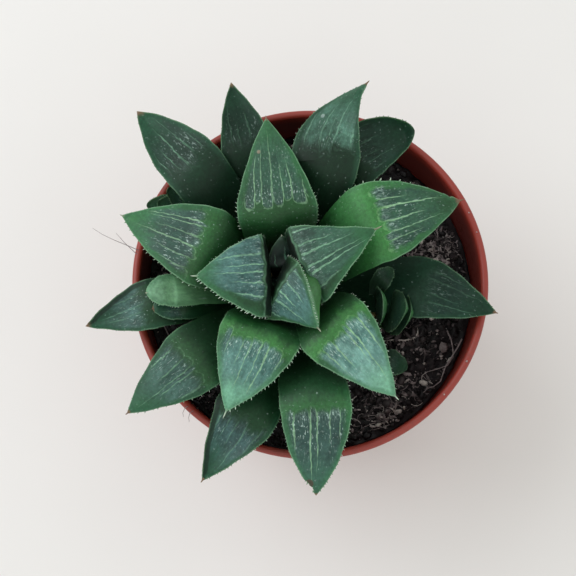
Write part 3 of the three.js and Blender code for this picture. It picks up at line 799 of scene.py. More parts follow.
def fleck_layer(tree, look, at):
    """Short dashes and round specks of air under the skin, most near the start."""
    dash = add(tree, "MapRange", {0: at.dashes, 1: 0.6, 2: 0.67}, **SOFT)
    flecked = add(tree, "MapRange", {0: at.mottle, 1: 0.35, 2: 0.62}, **SOFT)
    dash = add(tree, "Math", {0: dash, 1: flecked}, operation="MULTIPLY")
    warp = add(tree, "TexNoise", {"Vector": at.grain, "Scale": 1.6, "Detail": 2.0}, out=1)
    warped = add(
        tree, "VectorMath", {0: warp, 1: (0.9, 0.9, 0), 2: at.grain}, operation="MULTIPLY_ADD",
    )
    dots = add(tree, "TexVoronoi", {"Vector": warped, "Scale": 1 / SPECK_SPACING_MM})
    distance, chance = [dots.node.outputs[key] for key in ("Distance", "Color")]
    dot = add(tree, "MapRange", {0: distance, 1: 0.08, 2: 0.26, 3: 1.0, 4: 0.0}, **SOFT)
    which = add(tree, "SeparateXYZ", {0: chance})
    picked = add(tree, "MapRange", {0: which, 1: 0.35, 2: 1.0})
    gathered = add(tree, "MapRange", {0: at.mottle, 1: 0.4, 2: 0.6, 3: 0.35, 4: 1.0})
    for share in (picked, gathered):
        dot = add(tree, "Math", {0: dot, 1: share}, operation="MULTIPLY")
    near_start = add(tree, "MapRange", {0: at.past_start, 1: 0.05, 2: 0.5, 3: 1.0, 4: 0.3})
    fleck = add(tree, "Math", {0: dash, 1: dot}, operation="MAXIMUM")
    for share in (near_start, at.glass, look["flecks"]):
        fleck = add(tree, "Math", {0: fleck, 1: share}, operation="MULTIPLY")
    dust = dot
    for share in (at.above, look["dust"]):
        dust = add(tree, "Math", {0: dust, 1: share}, operation="MULTIPLY")
    fleck = add(tree, "Math", {0: fleck, 1: dust}, operation="MAXIMUM")
    return fleck, colour("#c0d8cf")


def frost_layer(tree, look, at):
    """Clumps of the smallest air cells, like frost, near the start of the window."""
    frosted = add(tree, "Math", {0: at.milk, 1: 0.25, 2: at.past_start}, operation="MULTIPLY_ADD")
    reach = {0: frosted, 1: 0.2, 2: 0.42, 3: look["frost"], 4: 0.0}
    frost = add(tree, "MapRange", reach, **SOFT)
    clumped = add(tree, "MapRange", {0: at.dashes, 1: 0.4, 2: 0.66, 3: 0.05, 4: 1.0})
    for share in (clumped, at.glass):
        frost = add(tree, "Math", {0: frost, 1: share}, operation="MULTIPLY")
    return frost, colour("#9dbcb0")


def vein_layer(tree, look, at):
    """Veins that fade at their ends, and the hem that joins them along the start line."""
    to_vein = add(tree, "Math", {0: 0.5, 1: at.off_centre}, operation="SUBTRACT")
    girth = add(tree, "MapRange", {0: at.rest, 1: 0.0, 2: 0.8, 3: 0.02, 4: 0.1})
    beside = add(tree, "Math", {0: to_vein, 1: girth}, operation="SUBTRACT")
    beside = add(tree, "Math", {0: at.milk, 1: 0.12, 2: beside}, operation="MULTIPLY_ADD")
    line = add(tree, "MapRange", {0: beside, 1: 0.045, 2: 0.095, 3: 1.0, 4: 0.0}, **SOFT)
    fading = add(tree, "MapRange", {0: at.rest, 1: -0.02, 2: 0.16}, **SOFT)
    grown = add(tree, "MapRange", {0: at.vein_chance, 3: 0.6, 4: 1.15})
    chalk = add(tree, "MapRange", {0: at.dashes, 1: 0.38, 2: 0.6, 3: 0.62, 4: 1.1})
    for share in (fading, grown, chalk, at.open_start):
        line = add(tree, "Math", {0: line, 1: share}, operation="MULTIPLY")
    off_line = add(tree, "Math", {0: at.inside}, operation="ABSOLUTE")
    worn = add(tree, "Math", {0: at.milk, 1: 0.09, 2: off_line}, operation="MULTIPLY_ADD")
    hem = add(tree, "MapRange", {0: worn, 1: 0.04, 2: 0.062, 3: look["hem"], 4: 0.0}, **SOFT)
    drawn = add(tree, "Math", {0: line, 1: hem}, operation="MAXIMUM")
    for share in (at.open_sides, at.above):
        drawn = add(tree, "Math", {0: drawn, 1: share}, operation="MULTIPLY")
    vein = add(tree, "Math", {0: drawn, 1: look["veins"]}, operation="MULTIPLY", use_clamp=True)
    yellowed = add(tree, "Math", {0: at.band, 1: 0.9}, operation="MULTIPLY")
    pale, yellow = colour(look["vein"]), colour("#79b06c")
    return vein, add(tree, "Mix", {0: yellowed, 6: pale, 7: yellow}, **COLOURS)


print("flecks every", SPECK_SPACING_MM, "mm or so")

# %% [markdown]
# ## Living leaf tissue: marks of growth and age
# A young leaf has a thin pale ridge at its knee. Some leaves have an old scab a millimetre
# wide, and where a margin folds up and stands in shade, that shade is painted as a dark
# strip. The margins and teeth are horn-like and pale, and an old tip dries to brown. Only a
# few leaves have all of these, so each is a layer that a leaf's own look turns on, instead
# of a material for each leaf.

# %% Layers of growth and age
def ridge_layer(tree, look, at):
    """A thin pale ridge where a young leaf bends at its knee."""
    from_ridge = add(tree, "Math", {0: at.past_start, 1: 0.015}, operation="ADD")
    from_ridge = add(tree, "Math", {0: from_ridge}, operation="ABSOLUTE")
    reach = {0: from_ridge, 1: 0.005, 2: 0.03, 3: look["ridge"], 4: 0.0}
    ridge = add(tree, "MapRange", reach, **SOFT)
    broken = add(tree, "MapRange", {0: at.milk, 1: 0.35, 2: 0.65, 3: 0.2, 4: 1.0})
    for share in (broken, at.above):
        ridge = add(tree, "Math", {0: ridge, 1: share}, operation="MULTIPLY")
    return ridge, colour("#6fa07f")


def scab_layer(tree, look, at):
    """One old scab, placed in mm across and along from the middle of the knee."""
    across_mm, along_mm, radius_mm, scab_colour = look["scab"]
    middle = (across_mm, along_mm, look["seed"] * 7.3)
    away = add(tree, "VectorMath", {0: at.grain, 1: middle}, out=1, operation="DISTANCE")
    away = add(tree, "Math", {0: at.dashes, 1: 0.4, 2: away}, operation="MULTIPLY_ADD")
    reach = {0: away, 1: radius_mm, 2: radius_mm + 0.25, 3: 0.85, 4: 0.0}
    scab = add(tree, "MapRange", reach, **SOFT)
    scab = add(tree, "Math", {0: scab, 1: at.above}, operation="MULTIPLY")
    return scab, colour(scab_colour)


def fold_shade_layer(tree, look, at):
    """Painted shade: a dark strip along a margin that folds up and stands in shade."""
    which_side, strip_mm = look["strip"]
    reach = {0: at.edge, 1: strip_mm, 2: strip_mm + 0.3, 3: 0.75, 4: 0.0}
    fold_shade = add(tree, "MapRange", reach, **SOFT)
    on_side = add(tree, "MapRange", {0: at.u, 1: 0.0, 2: 0.3 * which_side})
    for share in (on_side, at.above, at.beyond_knee):
        fold_shade = add(tree, "Math", {0: fold_shade, 1: share}, operation="MULTIPLY")
    return fold_shade, colour("#12251b")


def horn_and_dry_layers(tree, look, at):
    """The horny margin, its teeth, and the dried tip of the leaf."""
    horn = {0: at.edge, 1: 0.1, 2: 0.36, 3: look["margin"], 4: 0.0}
    rim = add(tree, "MapRange", horn, **SOFT)
    worn_rim = add(tree, "MapRange", {0: at.milk, 1: 0.38, 2: 0.6, 3: 0.35, 4: 1.0})
    for share in (at.beyond_knee, worn_rim):
        rim = add(tree, "Math", {0: rim, 1: share}, operation="MULTIPLY")
    tooth = add(tree, "MapRange", {0: at.edge, 1: -0.4, 2: 0.0, 3: 0.85, 4: 0.0}, **SOFT)
    dry_place = add(tree, "Math", {0: at.mottle, 1: 0.12, 2: at.v}, operation="MULTIPLY_ADD")
    drying = {0: dry_place, 1: 1.07 - look["dry"], 2: 1.09 - look["dry"] * 0.6}
    at.dry = add(tree, "MapRange", drying, **SOFT)
    return [(rim, colour("#7ea884")), (tooth, colour("#cddccb")), (at.dry, colour("#745f4c"))]


print("a look turns on the marks that its leaf has")

# %% [markdown]
# ## Living leaf tissue: the finished material
# Fresh tissue is satin and slightly see-through, with an IOR near 1.42. Clear panes are
# smoother than the waxy green, and each cell of the skin is a tiny dome. A Principled
# shader gives all of that: some light scatters under the surface, the roughness follows
# the wax, and a bump makes the domes.

# %% Material: leaf tissue
def leaf_tissue(name, look):
    """Waxy leaf tissue with windows, veins, flecks, pale margins and a dry brown tip."""
    material, tree = empty_material(name)
    at = leaf_patterns(tree)
    find_panes(tree, look, at)
    open_window(tree, look, at)
    layers = green_layers(tree, look, at)
    makers = [band_layer, pane_layer, fleck_layer, frost_layer, vein_layer, underside_layer]
    makers.append(ridge_layer)
    makers += [make for key, make in (("scab", scab_layer), ("strip", fold_shade_layer)) if look[key]]
    layers += [make(tree, look, at) for make in makers]
    # The first colour is low: the heart end's green, darkened as painted shade of the deep heart.
    flesh = colour(look["low"])
    for share, tone in layers:
        flesh = add(tree, "Mix", {0: share, 6: flesh, 7: tone}, **COLOURS)

    # Tone varies over the leaf as it does on any grown thing
    tone = add(tree, "MapRange", {0: at.broad, 1: 0.3, 2: 0.7, 3: 0.8, 4: 1.18})
    grained = add(tree, "MapRange", {0: at.groups, 1: 0.3, 2: 0.7, 3: 0.8, 4: 1.22})
    tone = add(tree, "Math", {0: tone, 1: grained}, operation="MULTIPLY")
    flesh = add(tree, "Mix", {0: 1.0, 6: flesh, 7: tone}, **COLOURS, blend_type="MULTIPLY")
    for share, tone in horn_and_dry_layers(tree, look, at):
        flesh = add(tree, "Mix", {0: share, 6: flesh, 7: tone}, **COLOURS)

    wax = add(tree, "MapRange", {0: at.milk, 1: 0.3, 2: 0.7, 3: 0.38, 4: 0.56})
    clear = add(tree, "Math", {0: at.window, 1: -0.06, 2: wax}, operation="MULTIPLY_ADD")
    rough = add(tree, "Math", {0: at.dry, 1: 0.3, 2: clear}, operation="MULTIPLY_ADD")
    relief = add(tree, "Math", {0: at.dashes, 1: 0.8, 2: at.cells}, operation="MULTIPLY_ADD")
    bump = add(tree, "Bump", {"Height": relief, "Strength": 0.4, "Distance": 0.06 * MM})
    shader = add(tree, "BsdfPrincipled", {
        "Base Color": flesh, "Roughness": rough, "Normal": bump, "IOR": 1.42,
        "Specular IOR Level": look["gloss"], "Subsurface Weight": 0.1,
        "Subsurface Radius": (0.7, 1.0, 0.4), "Subsurface Scale": 1.0 * MM,
    })
    add(tree, "OutputMaterial", {"Surface": shader})
    return material


print("leaf tissue: IOR 1.42, satin")

# %% [markdown]
# ## The leaves of the rosette
# Every leaf has its own numbers: where its knee and tip stand round the stem, how wide and
# deep it is, and how it has aged. Inner leaves are young, pale and strongly windowed;
# outer ones are older, darker and often dry at the tip. The two leaves deep in the heart
# and three low outer ones are darker still, as painted shade, and the tips of two leaves
# that face the light are paler, partly as painted light. One table of numbers for them all
# makes it easy to compare neighbours. It runs from the inside out, because a leaf is cut
# by those before it.

# %% Looks of young, middle and old leaves
# What the keys of a look mean, with v running from the knee at 0 to the tip at 1:
# low, base, tip, side and under are the greens of the heart end, the part past the knee, the
# tip, the margins and the underside; low is darkened as painted shade of the deep heart.
# pane, milk and vein are the colours in the window; the blue-grey of pane and milk is in
# part painted reflection of the pale room.
# start is the v at which the window begins and end the one near which it stops; soft is the
# width of that start line, fray and lobes its unevenness, lean a shift of the window to one
# side, and shade the v from which the leaf turns from low to base.
# window, flecks, veins, hem, band, frost, dust, ridge and margin say how strongly each of
# these shows. dry is the dried share of the tip, and gloss the strength of reflections.
# scab is a place across and along in mm, a radius and a colour, or None, and strip a side,
# -1 or 1, and a width in mm of a dark strip of painted shade along that margin, or None.
YOUNG = {
    "low": "#08130c", "base": "#1a4024", "tip": "#2b5c3a", "side": "#2f6540",
    "pane": "#284c43", "milk": "#4e7c6c", "vein": "#86b894", "under": "#2f6136",
    "window": 0.9, "flecks": 0.6, "veins": 0.78, "hem": 0.0, "band": 0.0, "margin": 0.8,
    "start": -0.04, "fray": 0.03, "lobes": 0.15, "ridge": 0.5, "shade": -0.09, "end": 0.84,
    "dry": 0.0, "gloss": 0.38, "lean": 0.0, "frost": 0.15, "soft": 0.04, "dust": 0.1,
    "scab": None, "strip": None,
}
MIDDLE = {
    **YOUNG, "low": "#102a17", "base": "#1c4823", "tip": "#306a3c", "pane": "#203e3b",
    "milk": "#4f796d", "vein": "#86b089", "hem": 0.35, "band": 0.2, "margin": 0.6,
    "start": 0.03, "fray": 0.16, "lobes": 1.0, "ridge": 0.0, "shade": -0.75, "end": 0.82,
    "flecks": 0.95, "frost": 0.25, "soft": 0.09, "dust": 0.3,
}
OLD = {
    **MIDDLE, "low": "#0c2014", "base": "#153a20", "tip": "#204a34", "side": "#27533b",
    "pane": "#1a312a", "milk": "#3a5a52", "vein": "#6b9a7c", "window": 0.75, "flecks": 0.45,
    "veins": 0.5, "hem": 0.1, "band": 0.0, "margin": 0.4, "end": 0.75, "dry": 0.06,
    "gloss": 0.32, "frost": 0.12, "soft": 0.2,
}
# Leaves deep in the heart: a dark green of their own, and much darker still as painted shade.
SHADED_HEART = {
    **YOUNG, "base": "#0e2216", "side": "#15301e", "pane": "#0b1914", "milk": "#142a24",
    "vein": "#5d8f74", "tip": "#15301f", "window": 0.7, "flecks": 0.1, "veins": 0.6,
    "margin": 0.15, "ridge": 0.0, "frost": 0.0,
}
# Three low outer leaves that lie in shade: their darker greens are painted shade.
SHADED_OLD = {
    **OLD, "base": "#122c1c", "tip": "#163424", "side": "#1d3f2c", "pane": "#15261f",
    "milk": "#27423a", "gloss": 0.2, "window": 0.5, "veins": 0.25, "hem": 0.0,
    "flecks": 0.3, "fray": 0.3, "frost": 0.1,
}
print("looks of leaves:", 5)

# %% The leaves
# Knee and tip are a distance from the rosette's axis, an azimuth and a height. Sizes are in
# mm and angles in degrees. A pair is for the two margins, or in roll for knee and tip, and
# fineness counts the rings and points of the mesh.
PLAIN_LEAF = {
    "centre": CROWN, "depth": 7, "taper": 1.8, "blunt": 1, "swell": 1.2, "cup": -0.5,
    "roll": (0, 0), "bow": 0, "flank": (0.05, 0.05), "base_share": 0.58, "base_radius": 2.5,
    "base_turn": 0, "fineness": (22, 70, 48, 26), "relief": 1.0, "nicks": (),
    "teeth_from": -0.25, "tooth": (0.3, 0.3), "tooth_gap": TOOTH_SPACING, "teeth_fade": 0.9,
    "awn": 1.0, "awn_lift": 0.1, "knee_waves": 0,
}
ROSETTE = [
    {"foot": 71, "knee": (3.2, 72, 83), "tip": (8.6, 92, 86.5), "width": 10.5, "depth": 2.4,
     "base_radius": 0.8, "tooth": (0.1, 0.1), "awn": 0.1, "look": SHADED_HEART},
    {"foot": 70, "knee": (1.5, 238, 79), "tip": (3.4, 236, 82), "width": 6, "depth": 1.8,
     "base_radius": 0.8, "tooth": (0.1, 0.1), "awn": 0.1, "look": SHADED_HEART},
    {"foot": 69, "knee": (4.6, 268, 87.5), "tip": (16.1, 300, 90.5), "width": 15.5,
     "depth": 6, "taper": 1.3, "roll": (30, 42), "flank": (1.2, 0.05), "base_radius": 3.5,
     "base_turn": -34,
     "look": {**YOUNG, "under": "#29592a", "side": "#2f6437", "start": 0.02, "margin": 0.55,
              "milk": "#4f7a74", "tip": "#2f5c46"},
     "tooth": (0.5, 0.15), "tooth_gap": 0.6, "knee_waves": 0.3},
    {"foot": 69, "knee": (6, 12, 90), "tip": (23.3, 23, 91), "width": 19, "depth": 5.4,
     "taper": 1.2,
     "look": {**YOUNG, "lean": -0.12, "end": 0.78, "veins": 0.72, "pane": "#203e34",
              "milk": "#3d6551"},
     "tooth": (0.2, 0.42), "tooth_gap": 1.0, "awn": 1.2, "knee_waves": 0.5},
    {"foot": 69, "knee": (5.4, 195, 89), "tip": (19.8, 185, 90), "width": 19, "depth": 5.4,
     "taper": 1.6,
     "look": {**YOUNG, "lean": 0.22, "pane": "#1f4140", "milk": "#557e78", "veins": 0.62},
     "tooth": (0.7, 0.3), "tooth_gap": 0.8, "awn": 1.2, "knee_waves": 0.5},
    # leaf_06 and leaf_07 face the window: their pale mint tips are partly their own green and
    # partly painted light.
    {"foot": 66, "knee": (16, 250.5, 87), "tip": (34.2, 248, 84), "width": 18.5,
     "look": {**MIDDLE, "pane": "#284e49", "milk": "#5d887f", "tip": "#70a98a", "band": 0.7,
              "frost": 0.32},
     "tooth": (0.65, 0.2), "tooth_gap": 1.0, "awn": 1.8},
    {"foot": 66, "knee": (17.5, 312, 87), "tip": (38.2, 312, 84), "width": 17.5,
     "look": {**MIDDLE, "band": 0.85, "pane": "#335e5a", "milk": "#7aa89c", "tip": "#70a588",
              "base": "#25502b", "frost": 0.4, "veins": 1.0},
     "tooth": (0.5, 0.25), "tooth_gap": 1.0, "awn": 1.0},
    {"foot": 66, "knee": (14.5, 95, 86), "tip": (38, 96, 83), "width": 18.5, "taper": 1.65,
     "look": {**MIDDLE, "hem": 0.55, "fray": 0.08, "lobes": 1.2, "band": 0.05,
              "pane": "#213f35", "milk": "#39614b", "end": 0.9, "frost": 0.1, "soft": 0.03,
              "scab": (-2.7, 15.4, 0.5, "#8f8470")},
     "tooth": (0.55, 0.4), "tooth_gap": 0.9, "teeth_fade": 0.1, "awn": 0.6},
    {"foot": 65.5, "knee": (19, 161, 86), "tip": (40.2, 159, 82), "width": 19,
     "look": {**MIDDLE, "flecks": 1.0, "pane": "#193330", "milk": "#355a4c", "frost": 0.25},
     "tooth": (0.5, 0.15), "awn": 0.5},
    {"foot": 65.5, "knee": (24, 28.5, 87), "tip": (45.2, 23.5, 82), "width": 19.5,
     "look": {**MIDDLE, "base": "#37783d", "band": 0.6, "pane": "#183234", "milk": "#335843",
              "tip": "#21492a", "dry": 0.08, "fray": 0.22, "veins": 1.0, "frost": 0.45},
     "tooth": (0.85, 0.12), "tooth_gap": 1.8, "teeth_fade": 0.35, "awn": 1.1,
     "nicks": ((-1, 0.86, 0.92, 0.5),)},
    {"foot": 62.5, "knee": (27.5, 224, 82), "tip": (47.6, 221.5, 79), "width": 16,
     "look": {**OLD, "pane": "#233f39", "milk": "#52766d", "base": "#1a3a22", "veins": 0.95,
              "vein": "#719f7c", "band": 0.15, "flecks": 0.8, "tip": "#2e5a3e",
              "low": "#12301a", "hem": 0.2},
     "tooth": (0.45, 0.15), "tooth_gap": 1.6, "awn": 0.4},
    {"foot": 62.5, "knee": (30.5, 284, 83), "tip": (50.8, 278.5, 80), "width": 16.2,
     "taper": 2.3,
     "look": {**MIDDLE, "base": "#244e2f", "pane": "#182f2e", "milk": "#35524b", "band": 0.3,
              "hem": 0.1, "veins": 0.75, "flecks": 1.0, "tip": "#355c4b", "dry": 0.04,
              "frost": 0.28, "scab": (1.5, 18.3, 1.0, "#43362b")},
     "tooth": (0.5, 0.25), "tooth_gap": 1.0, "awn": 0.0, "nicks": ((1, 0.84, 0.97, 0.7),)},
    {"foot": 62.5, "knee": (29.5, 70, 82), "tip": (51.7, 67, 80), "width": 16.5, "bow": -3,
     "roll": (0, -40),
     "look": {**OLD, "veins": 0.72, "vein": "#6a957d", "hem": 0.1, "fray": 0.25,
              "pane": "#24402f", "milk": "#578471", "base": "#0f2a19",
              "scab": (-3.4, 10.6, 0.55, "#8fa39b")},
     "tooth": (0.4, 0.25), "awn": 0.6},
    {"foot": 62.5, "knee": (32.5, 128.5, 82), "tip": (53.5, 130.5, 79), "width": 14.5,
     "taper": 2.3, "cup": 0.8,
     "look": {**OLD, "veins": 0.5, "dry": 0.1, "fray": 0.25, "base": "#12311f",
              "pane": "#12231c", "milk": "#264035"},
     "tooth": (0.2, 0.12), "awn": 0.0},
    {"foot": 60, "knee": (32, 359, 72.5), "tip": (50.6, 351.5, 75.5), "width": 15, "depth": 6,
     "cup": 0.8, "look": {**SHADED_OLD, "base": "#1a3828", "low": "#112819", "milk": "#1f3832"},
     "tooth": (0.2, 0.15), "awn": 0.25},
    {"foot": 65, "knee": (25, 187, 81), "tip": (31.6, 188, 84), "width": 8, "depth": 3,
     "taper": 2.4, "blunt": 0.6,
     "look": {**MIDDLE, "base": "#68986f", "tip": "#79a985", "low": "#37683e", "window": 0.0,
              "veins": 0.0, "hem": 0.0, "band": 0.0, "flecks": 0.0, "frost": 0.0,
              "dust": 0.35},
     "tooth": (0.35, 0.15), "tooth_gap": 0.7, "awn": 0.2},
    {"foot": 64, "knee": (24, 194, 77), "tip": (31, 193.5, 79.5), "width": 7, "depth": 2.5,
     "taper": 2.4, "blunt": 0.6, "look": OLD, "tooth": (0.2, 0.2), "awn": 0.2},
    {"foot": 60, "knee": (31, 190.5, 77.5), "tip": (47.3, 193, 75.5), "width": 12, "cup": 0.8,
     "look": {**OLD, "milk": "#4f716b", "veins": 0.42, "dry": 0.12, "fray": 0.3,
              "strip": (1, 1.1)},
     "tooth": (0.15, 0.15), "awn": 0.0},
    {"foot": 60, "knee": (32.5, 255, 79), "tip": (50.3, 248.5, 77.5), "width": 15,
     "taper": 1.6, "cup": 1,
     "look": {**OLD, "milk": "#4a6a6a", "pane": "#1b302e", "fray": 0.3, "strip": (1, 1.2)},
     "tooth": (0.4, 0.15), "tooth_gap": 1.0, "awn": 0.4},
    {"foot": 60, "knee": (32, 105, 79), "tip": (49.8, 104.5, 78), "width": 12.5, "cup": 0.6,
     "look": {**SHADED_OLD, "dry": 0.1, "milk": "#1c332a"}, "tooth": (0.15, 0.15), "awn": 0.0},
    {"foot": 60, "knee": (33, 60, 77), "tip": (47.9, 49.2, 78), "width": 14, "bow": -1.4,
     "taper": 2.6, "blunt": 0.62, "cup": 2, "roll": (0, 10),
     "look": {**SHADED_OLD, "milk": "#294438", "window": 0.7, "dry": 0.0},
     "tooth": (0.3, 0.15), "awn": 0.0},
]
ROSETTE = [
    {**PLAIN_LEAF, **leaf, "name": f"leaf_{i:02d}", "slot": "leaf", "seed": i}
    for i, leaf in enumerate(ROSETTE, 1)
]
print("rosette leaves:", len(ROSETTE))

# %% [markdown]
# ## Young rosettes
# Beside the plant stand three young rosettes, each on a stalk of its own. Their leaves are
# short, dark and smooth, with a pale line along the rounded edge and hardly any window.
# A formula of their own could fit them better, but the leaf formula with less depth and a
# blunter taper comes close enough, so it makes them too.

# %% Young rosettes
OFFSET_LEAF = {
    **PLAIN_LEAF, "depth": 2, "taper": 2.2, "blunt": 0.6, "swell": 0.3, "cup": 0.4,
    "base_share": 0.36, "base_radius": 0.5, "fineness": (14, 40, 26, 16), "relief": 0.4,
    "teeth_from": -0.1, "tooth": (0.13, 0.13), "tooth_gap": 0.6, "awn": 0.0,
    "slot": "offset_leaf",
}
OFFSET_LOOK = {
    **OLD, "base": "#274230", "tip": "#31543c", "low": "#182c1e", "window": 0.3,
    "flecks": 0.15, "veins": 0.05, "hem": 0.0, "margin": 0.55, "dry": 0.0, "side": "#455c4b",
    "frost": 0.0,
}
OFFSETS = [
    ("offset_right", (14.6, -7.2), 66, [
        {"foot": 63.6, "knee": (1.2, 5, 74), "tip": (1.9, 5, 81.5), "width": 9},
        {"foot": 62.5, "knee": (4.8, 351, 72.5), "tip": (7.5, 351, 78.5), "width": 10.2},
        {"foot": 60.5, "knee": (6.5, 350, 70.5), "tip": (8.9, 350, 76), "width": 10.4},
        {"foot": 62, "knee": (6.8, 72, 74), "tip": (9.9, 62, 76.3), "width": 4.8},
    ]),
    ("offset_lower_right", (13.8, -15.4), 60.5, [
        {"foot": 59.5, "knee": (5.5, 330, 61.8), "tip": (10.6, 332, 64), "width": 6.5},
        {"foot": 59.5, "knee": (4, 285, 62.2), "tip": (7, 283, 65), "width": 5.5},
    ]),
    ("offset_upper_left", (-26, 15.5), 65, [
        {"foot": 63.5, "knee": (4.5, 140, 74), "tip": (9.2, 148, 78), "width": 6.5},
        {"foot": 62, "knee": (5, 168, 72.5), "tip": (10.4, 170, 76.5), "width": 6.5},
        {"foot": 60.5, "knee": (6, 160, 69.5), "tip": (13.2, 171, 73.5), "width": 7},
    ]),
]
young_leaves = []
for offset, spot, _, leaves in OFFSETS:
    for i, leaf in enumerate(leaves, 1):
        seed = 30 + len(young_leaves)
        young_leaves.append({
            **OFFSET_LEAF, **leaf, "centre": spot, "look": OFFSET_LOOK, "seed": seed,
            "name": f"{offset}_leaf_{i}",
        })
print("leaves of young rosettes:", len(young_leaves))

# %% [markdown]
# ## Stem, roots and stalks
# Under the leaves a short corky stem stands in the peat on a few thick roots, and each
# young rosette has a stalk. They are round, so they are turned on a lathe in code: a
# profile of radius and height goes round the axis. A Screw modifier could do that as well,
# but in code the same lathe also makes the peat, the pot and its drills.

# %% Lathe
def rounded(outline, radius, steps=4):
    """The outline with its inner corners rounded. Corners are (radius, height) in mm."""
    made = [outline[0]]
    for before, corner, after in zip(outline, outline[1:], outline[2:]):
        before, corner, after = map(np.array, (before, corner, after))
        reach = [min(radius, np.linalg.norm(p - corner) * 0.45) for p in (before, after)]
        one = corner + unit(before - corner) * reach[0]
        two = corner + unit(after - corner) * reach[1]
        for t in np.linspace(0, 1, steps):
            made.append(tuple(one * (1 - t) ** 2 + corner * 2 * t * (1 - t) + two * t * t))
    return made + [outline[-1]]


def turned(outline, sides):
    """Points and faces of a closed round body. The outline starts and ends on the axis."""
    spots, faces, rings = [], [], []
    turns = np.arange(sides) * 2 * math.pi / sides
    for radius, height in outline:
        if radius < 1e-6:
            rings.append([len(spots)])
            spots.append((0, 0, height))
            continue
        rings.append(list(range(len(spots), len(spots) + sides)))
        spots += [(radius * math.cos(a), radius * math.sin(a), height) for a in turns]
    for low, high in zip(rings, rings[1:]):
        for i in range(sides):
            j = (i + 1) % sides
            if len(low) == 1:
                faces.append((low[0], high[j], high[i]))
            elif len(high) == 1:
                faces.append((low[i], low[j], high[0]))
            else:
                faces.append((low[i], low[j], high[j], high[i]))
    return np.array(spots, float), faces


def tube(points, radii, sides=8):
    """A closed tube along points in mm, with a radius at each."""
    points = np.array(points, float)
    along = unit(np.gradient(points, axis=0))
    hint = np.array([0.3, 0.2, 1.0])
    across = unit(np.cross(along, hint))
    other = np.cross(along, across)
    turns = np.arange(sides) * 2 * math.pi / sides
    ring = np.cos(turns)[None, :, None] * across[:, None]
    ring = ring + np.sin(turns)[None, :, None] * other[:, None]
    spots = (points[:, None] + ring * np.array(radii, float)[:, None, None]).reshape(-1, 3)
    faces = []
    for k in range(len(points) - 1):
        for i in range(sides):
            a, b = k * sides + i, k * sides + (i + 1) % sides
            faces.append((a, b, b + sides, a + sides))
    faces.append(tuple(range(sides))[::-1])
    faces.append(tuple(range(len(spots) - sides, len(spots))))
    return spots, faces


def gather(parts):
    """Points and faces of several parts as one list each."""
    spots, faces = [], []
    for part_spots, part_faces in parts:
        faces += [tuple(len(spots) + k for k in face) for face in part_faces]
        spots += [tuple(spot) for spot in part_spots]
    return spots, faces


print("a round body of 12 sides has", len(turned([(0, 0), (1, 0), (0, 1)], 12)[1]), "faces")

# %% [markdown]
# ## Corky bark
# The bark of the stem is dry cork with a flaky grain of half a millimetre, brown and in
# places still green. It is dull, since cork has no wax. Two noises give that: a fine one,
# pressed flat like the layers of cork, and a broad one for the green. A photograph of bark
# would need an unwrapped stem, and it would not be sharper at this size.

# %% Material: corky stem
BARK_GRAIN_MM = 0.5
GREEN_PATCH_MM = 4


def corky_bark(name):
    """Dry brown-green bark with rings of old leaf scars: dull, with a fine flaky grain."""
    material, tree = empty_material(name)
    spot = add(tree, "TexCoord", out=3)
    flat = add(tree, "VectorMath", {0: spot, 1: (1, 1, 3)}, operation="MULTIPLY")
    flakes = add(
        tree, "TexNoise", {"Vector": flat, "Scale": 1 / (BARK_GRAIN_MM * MM * 4), "Detail": 5.0},
    )
    patch_scale = 1.04 / (GREEN_PATCH_MM * MM)
    patches = add(tree, "TexNoise", {"Vector": spot, "Scale": patch_scale, "Detail": 2.0})
    greener = add(tree, "MapRange", {0: patches, 1: 0.45, 2: 0.7, 3: 0.0, 4: 0.6})
    tone = colour("#4f4328")
    for share, hex_value in ((flakes, "#a3925e"), (greener, "#5d6b3b")):
        tone = add(tree, "Mix", {0: share, 6: tone, 7: colour(hex_value)}, **COLOURS)
    rough = add(tree, "MapRange", {0: flakes, 3: 0.7, 4: 0.9})
    bump = add(tree, "Bump", {"Height": flakes, "Strength": 0.7, "Distance": 0.2 * MM})
    shader = add(
        tree, "BsdfPrincipled",
        {"Base Color": tone, "Roughness": rough, "Normal": bump, "IOR": 1.5},
    )
    add(tree, "OutputMaterial", {"Surface": shader})
    return material


bark = corky_bark("dry_corky_bark")
print("bark grain:", BARK_GRAIN_MM, "mm")

# %% [markdown]
# ## The stem with its roots
# The stem is widest where the oldest leaves sat and narrows toward the heart. Each of them
# left a low ring, a scar. A bump could fake the rings, but a wavy outline on the lathe makes
# them real. The roots are plain tubes, because peat hides them.

# %% Stem with its roots
STEM_HEIGHTS = (50, 54, 63, 74)
STEM_RADII = (4.5, 6.5, 6.5, 2.6)
SCAR_SPACING = 1.6
SCAR_DEPTH = 0.18
ROOTS = 6
ROOTS_START = 53
ROOT_DROP_DEG = 38
ROOT_LENGTH = 25.9
ROOT_RADII = (1.7, 0.7)

foot, top = STEM_HEIGHTS[0], STEM_HEIGHTS[-1]
heights = np.arange(foot + 0.3, top - 0.1, SCAR_SPACING / 4)
radii = np.interp(heights, STEM_HEIGHTS, STEM_RADII)
scars = SCAR_DEPTH * np.abs(np.sin(heights * math.pi / SCAR_SPACING))
sides = list(zip(radii - 0.05 - scars, heights))
outline = [(0, foot), (4.3, foot), *sides, (2.3, top), (0, top)]
stem_parts = [turned(outline, 48)]
drop = math.radians(ROOT_DROP_DEG)
outward = math.cos(drop)
for i in range(ROOTS):
    turn = 2 * math.pi * (i + 0.3) / ROOTS
    heading = np.array([outward * math.cos(turn), outward * math.sin(turn), -math.sin(drop)])
    steps = np.linspace(0, 1, 14)
    path = [np.array([0, 0, ROOTS_START]) + heading * ROOT_LENGTH * s for s in steps]
    stem_parts.append(tube(path, blend(*ROOT_RADII, steps) * 0.97, 12))
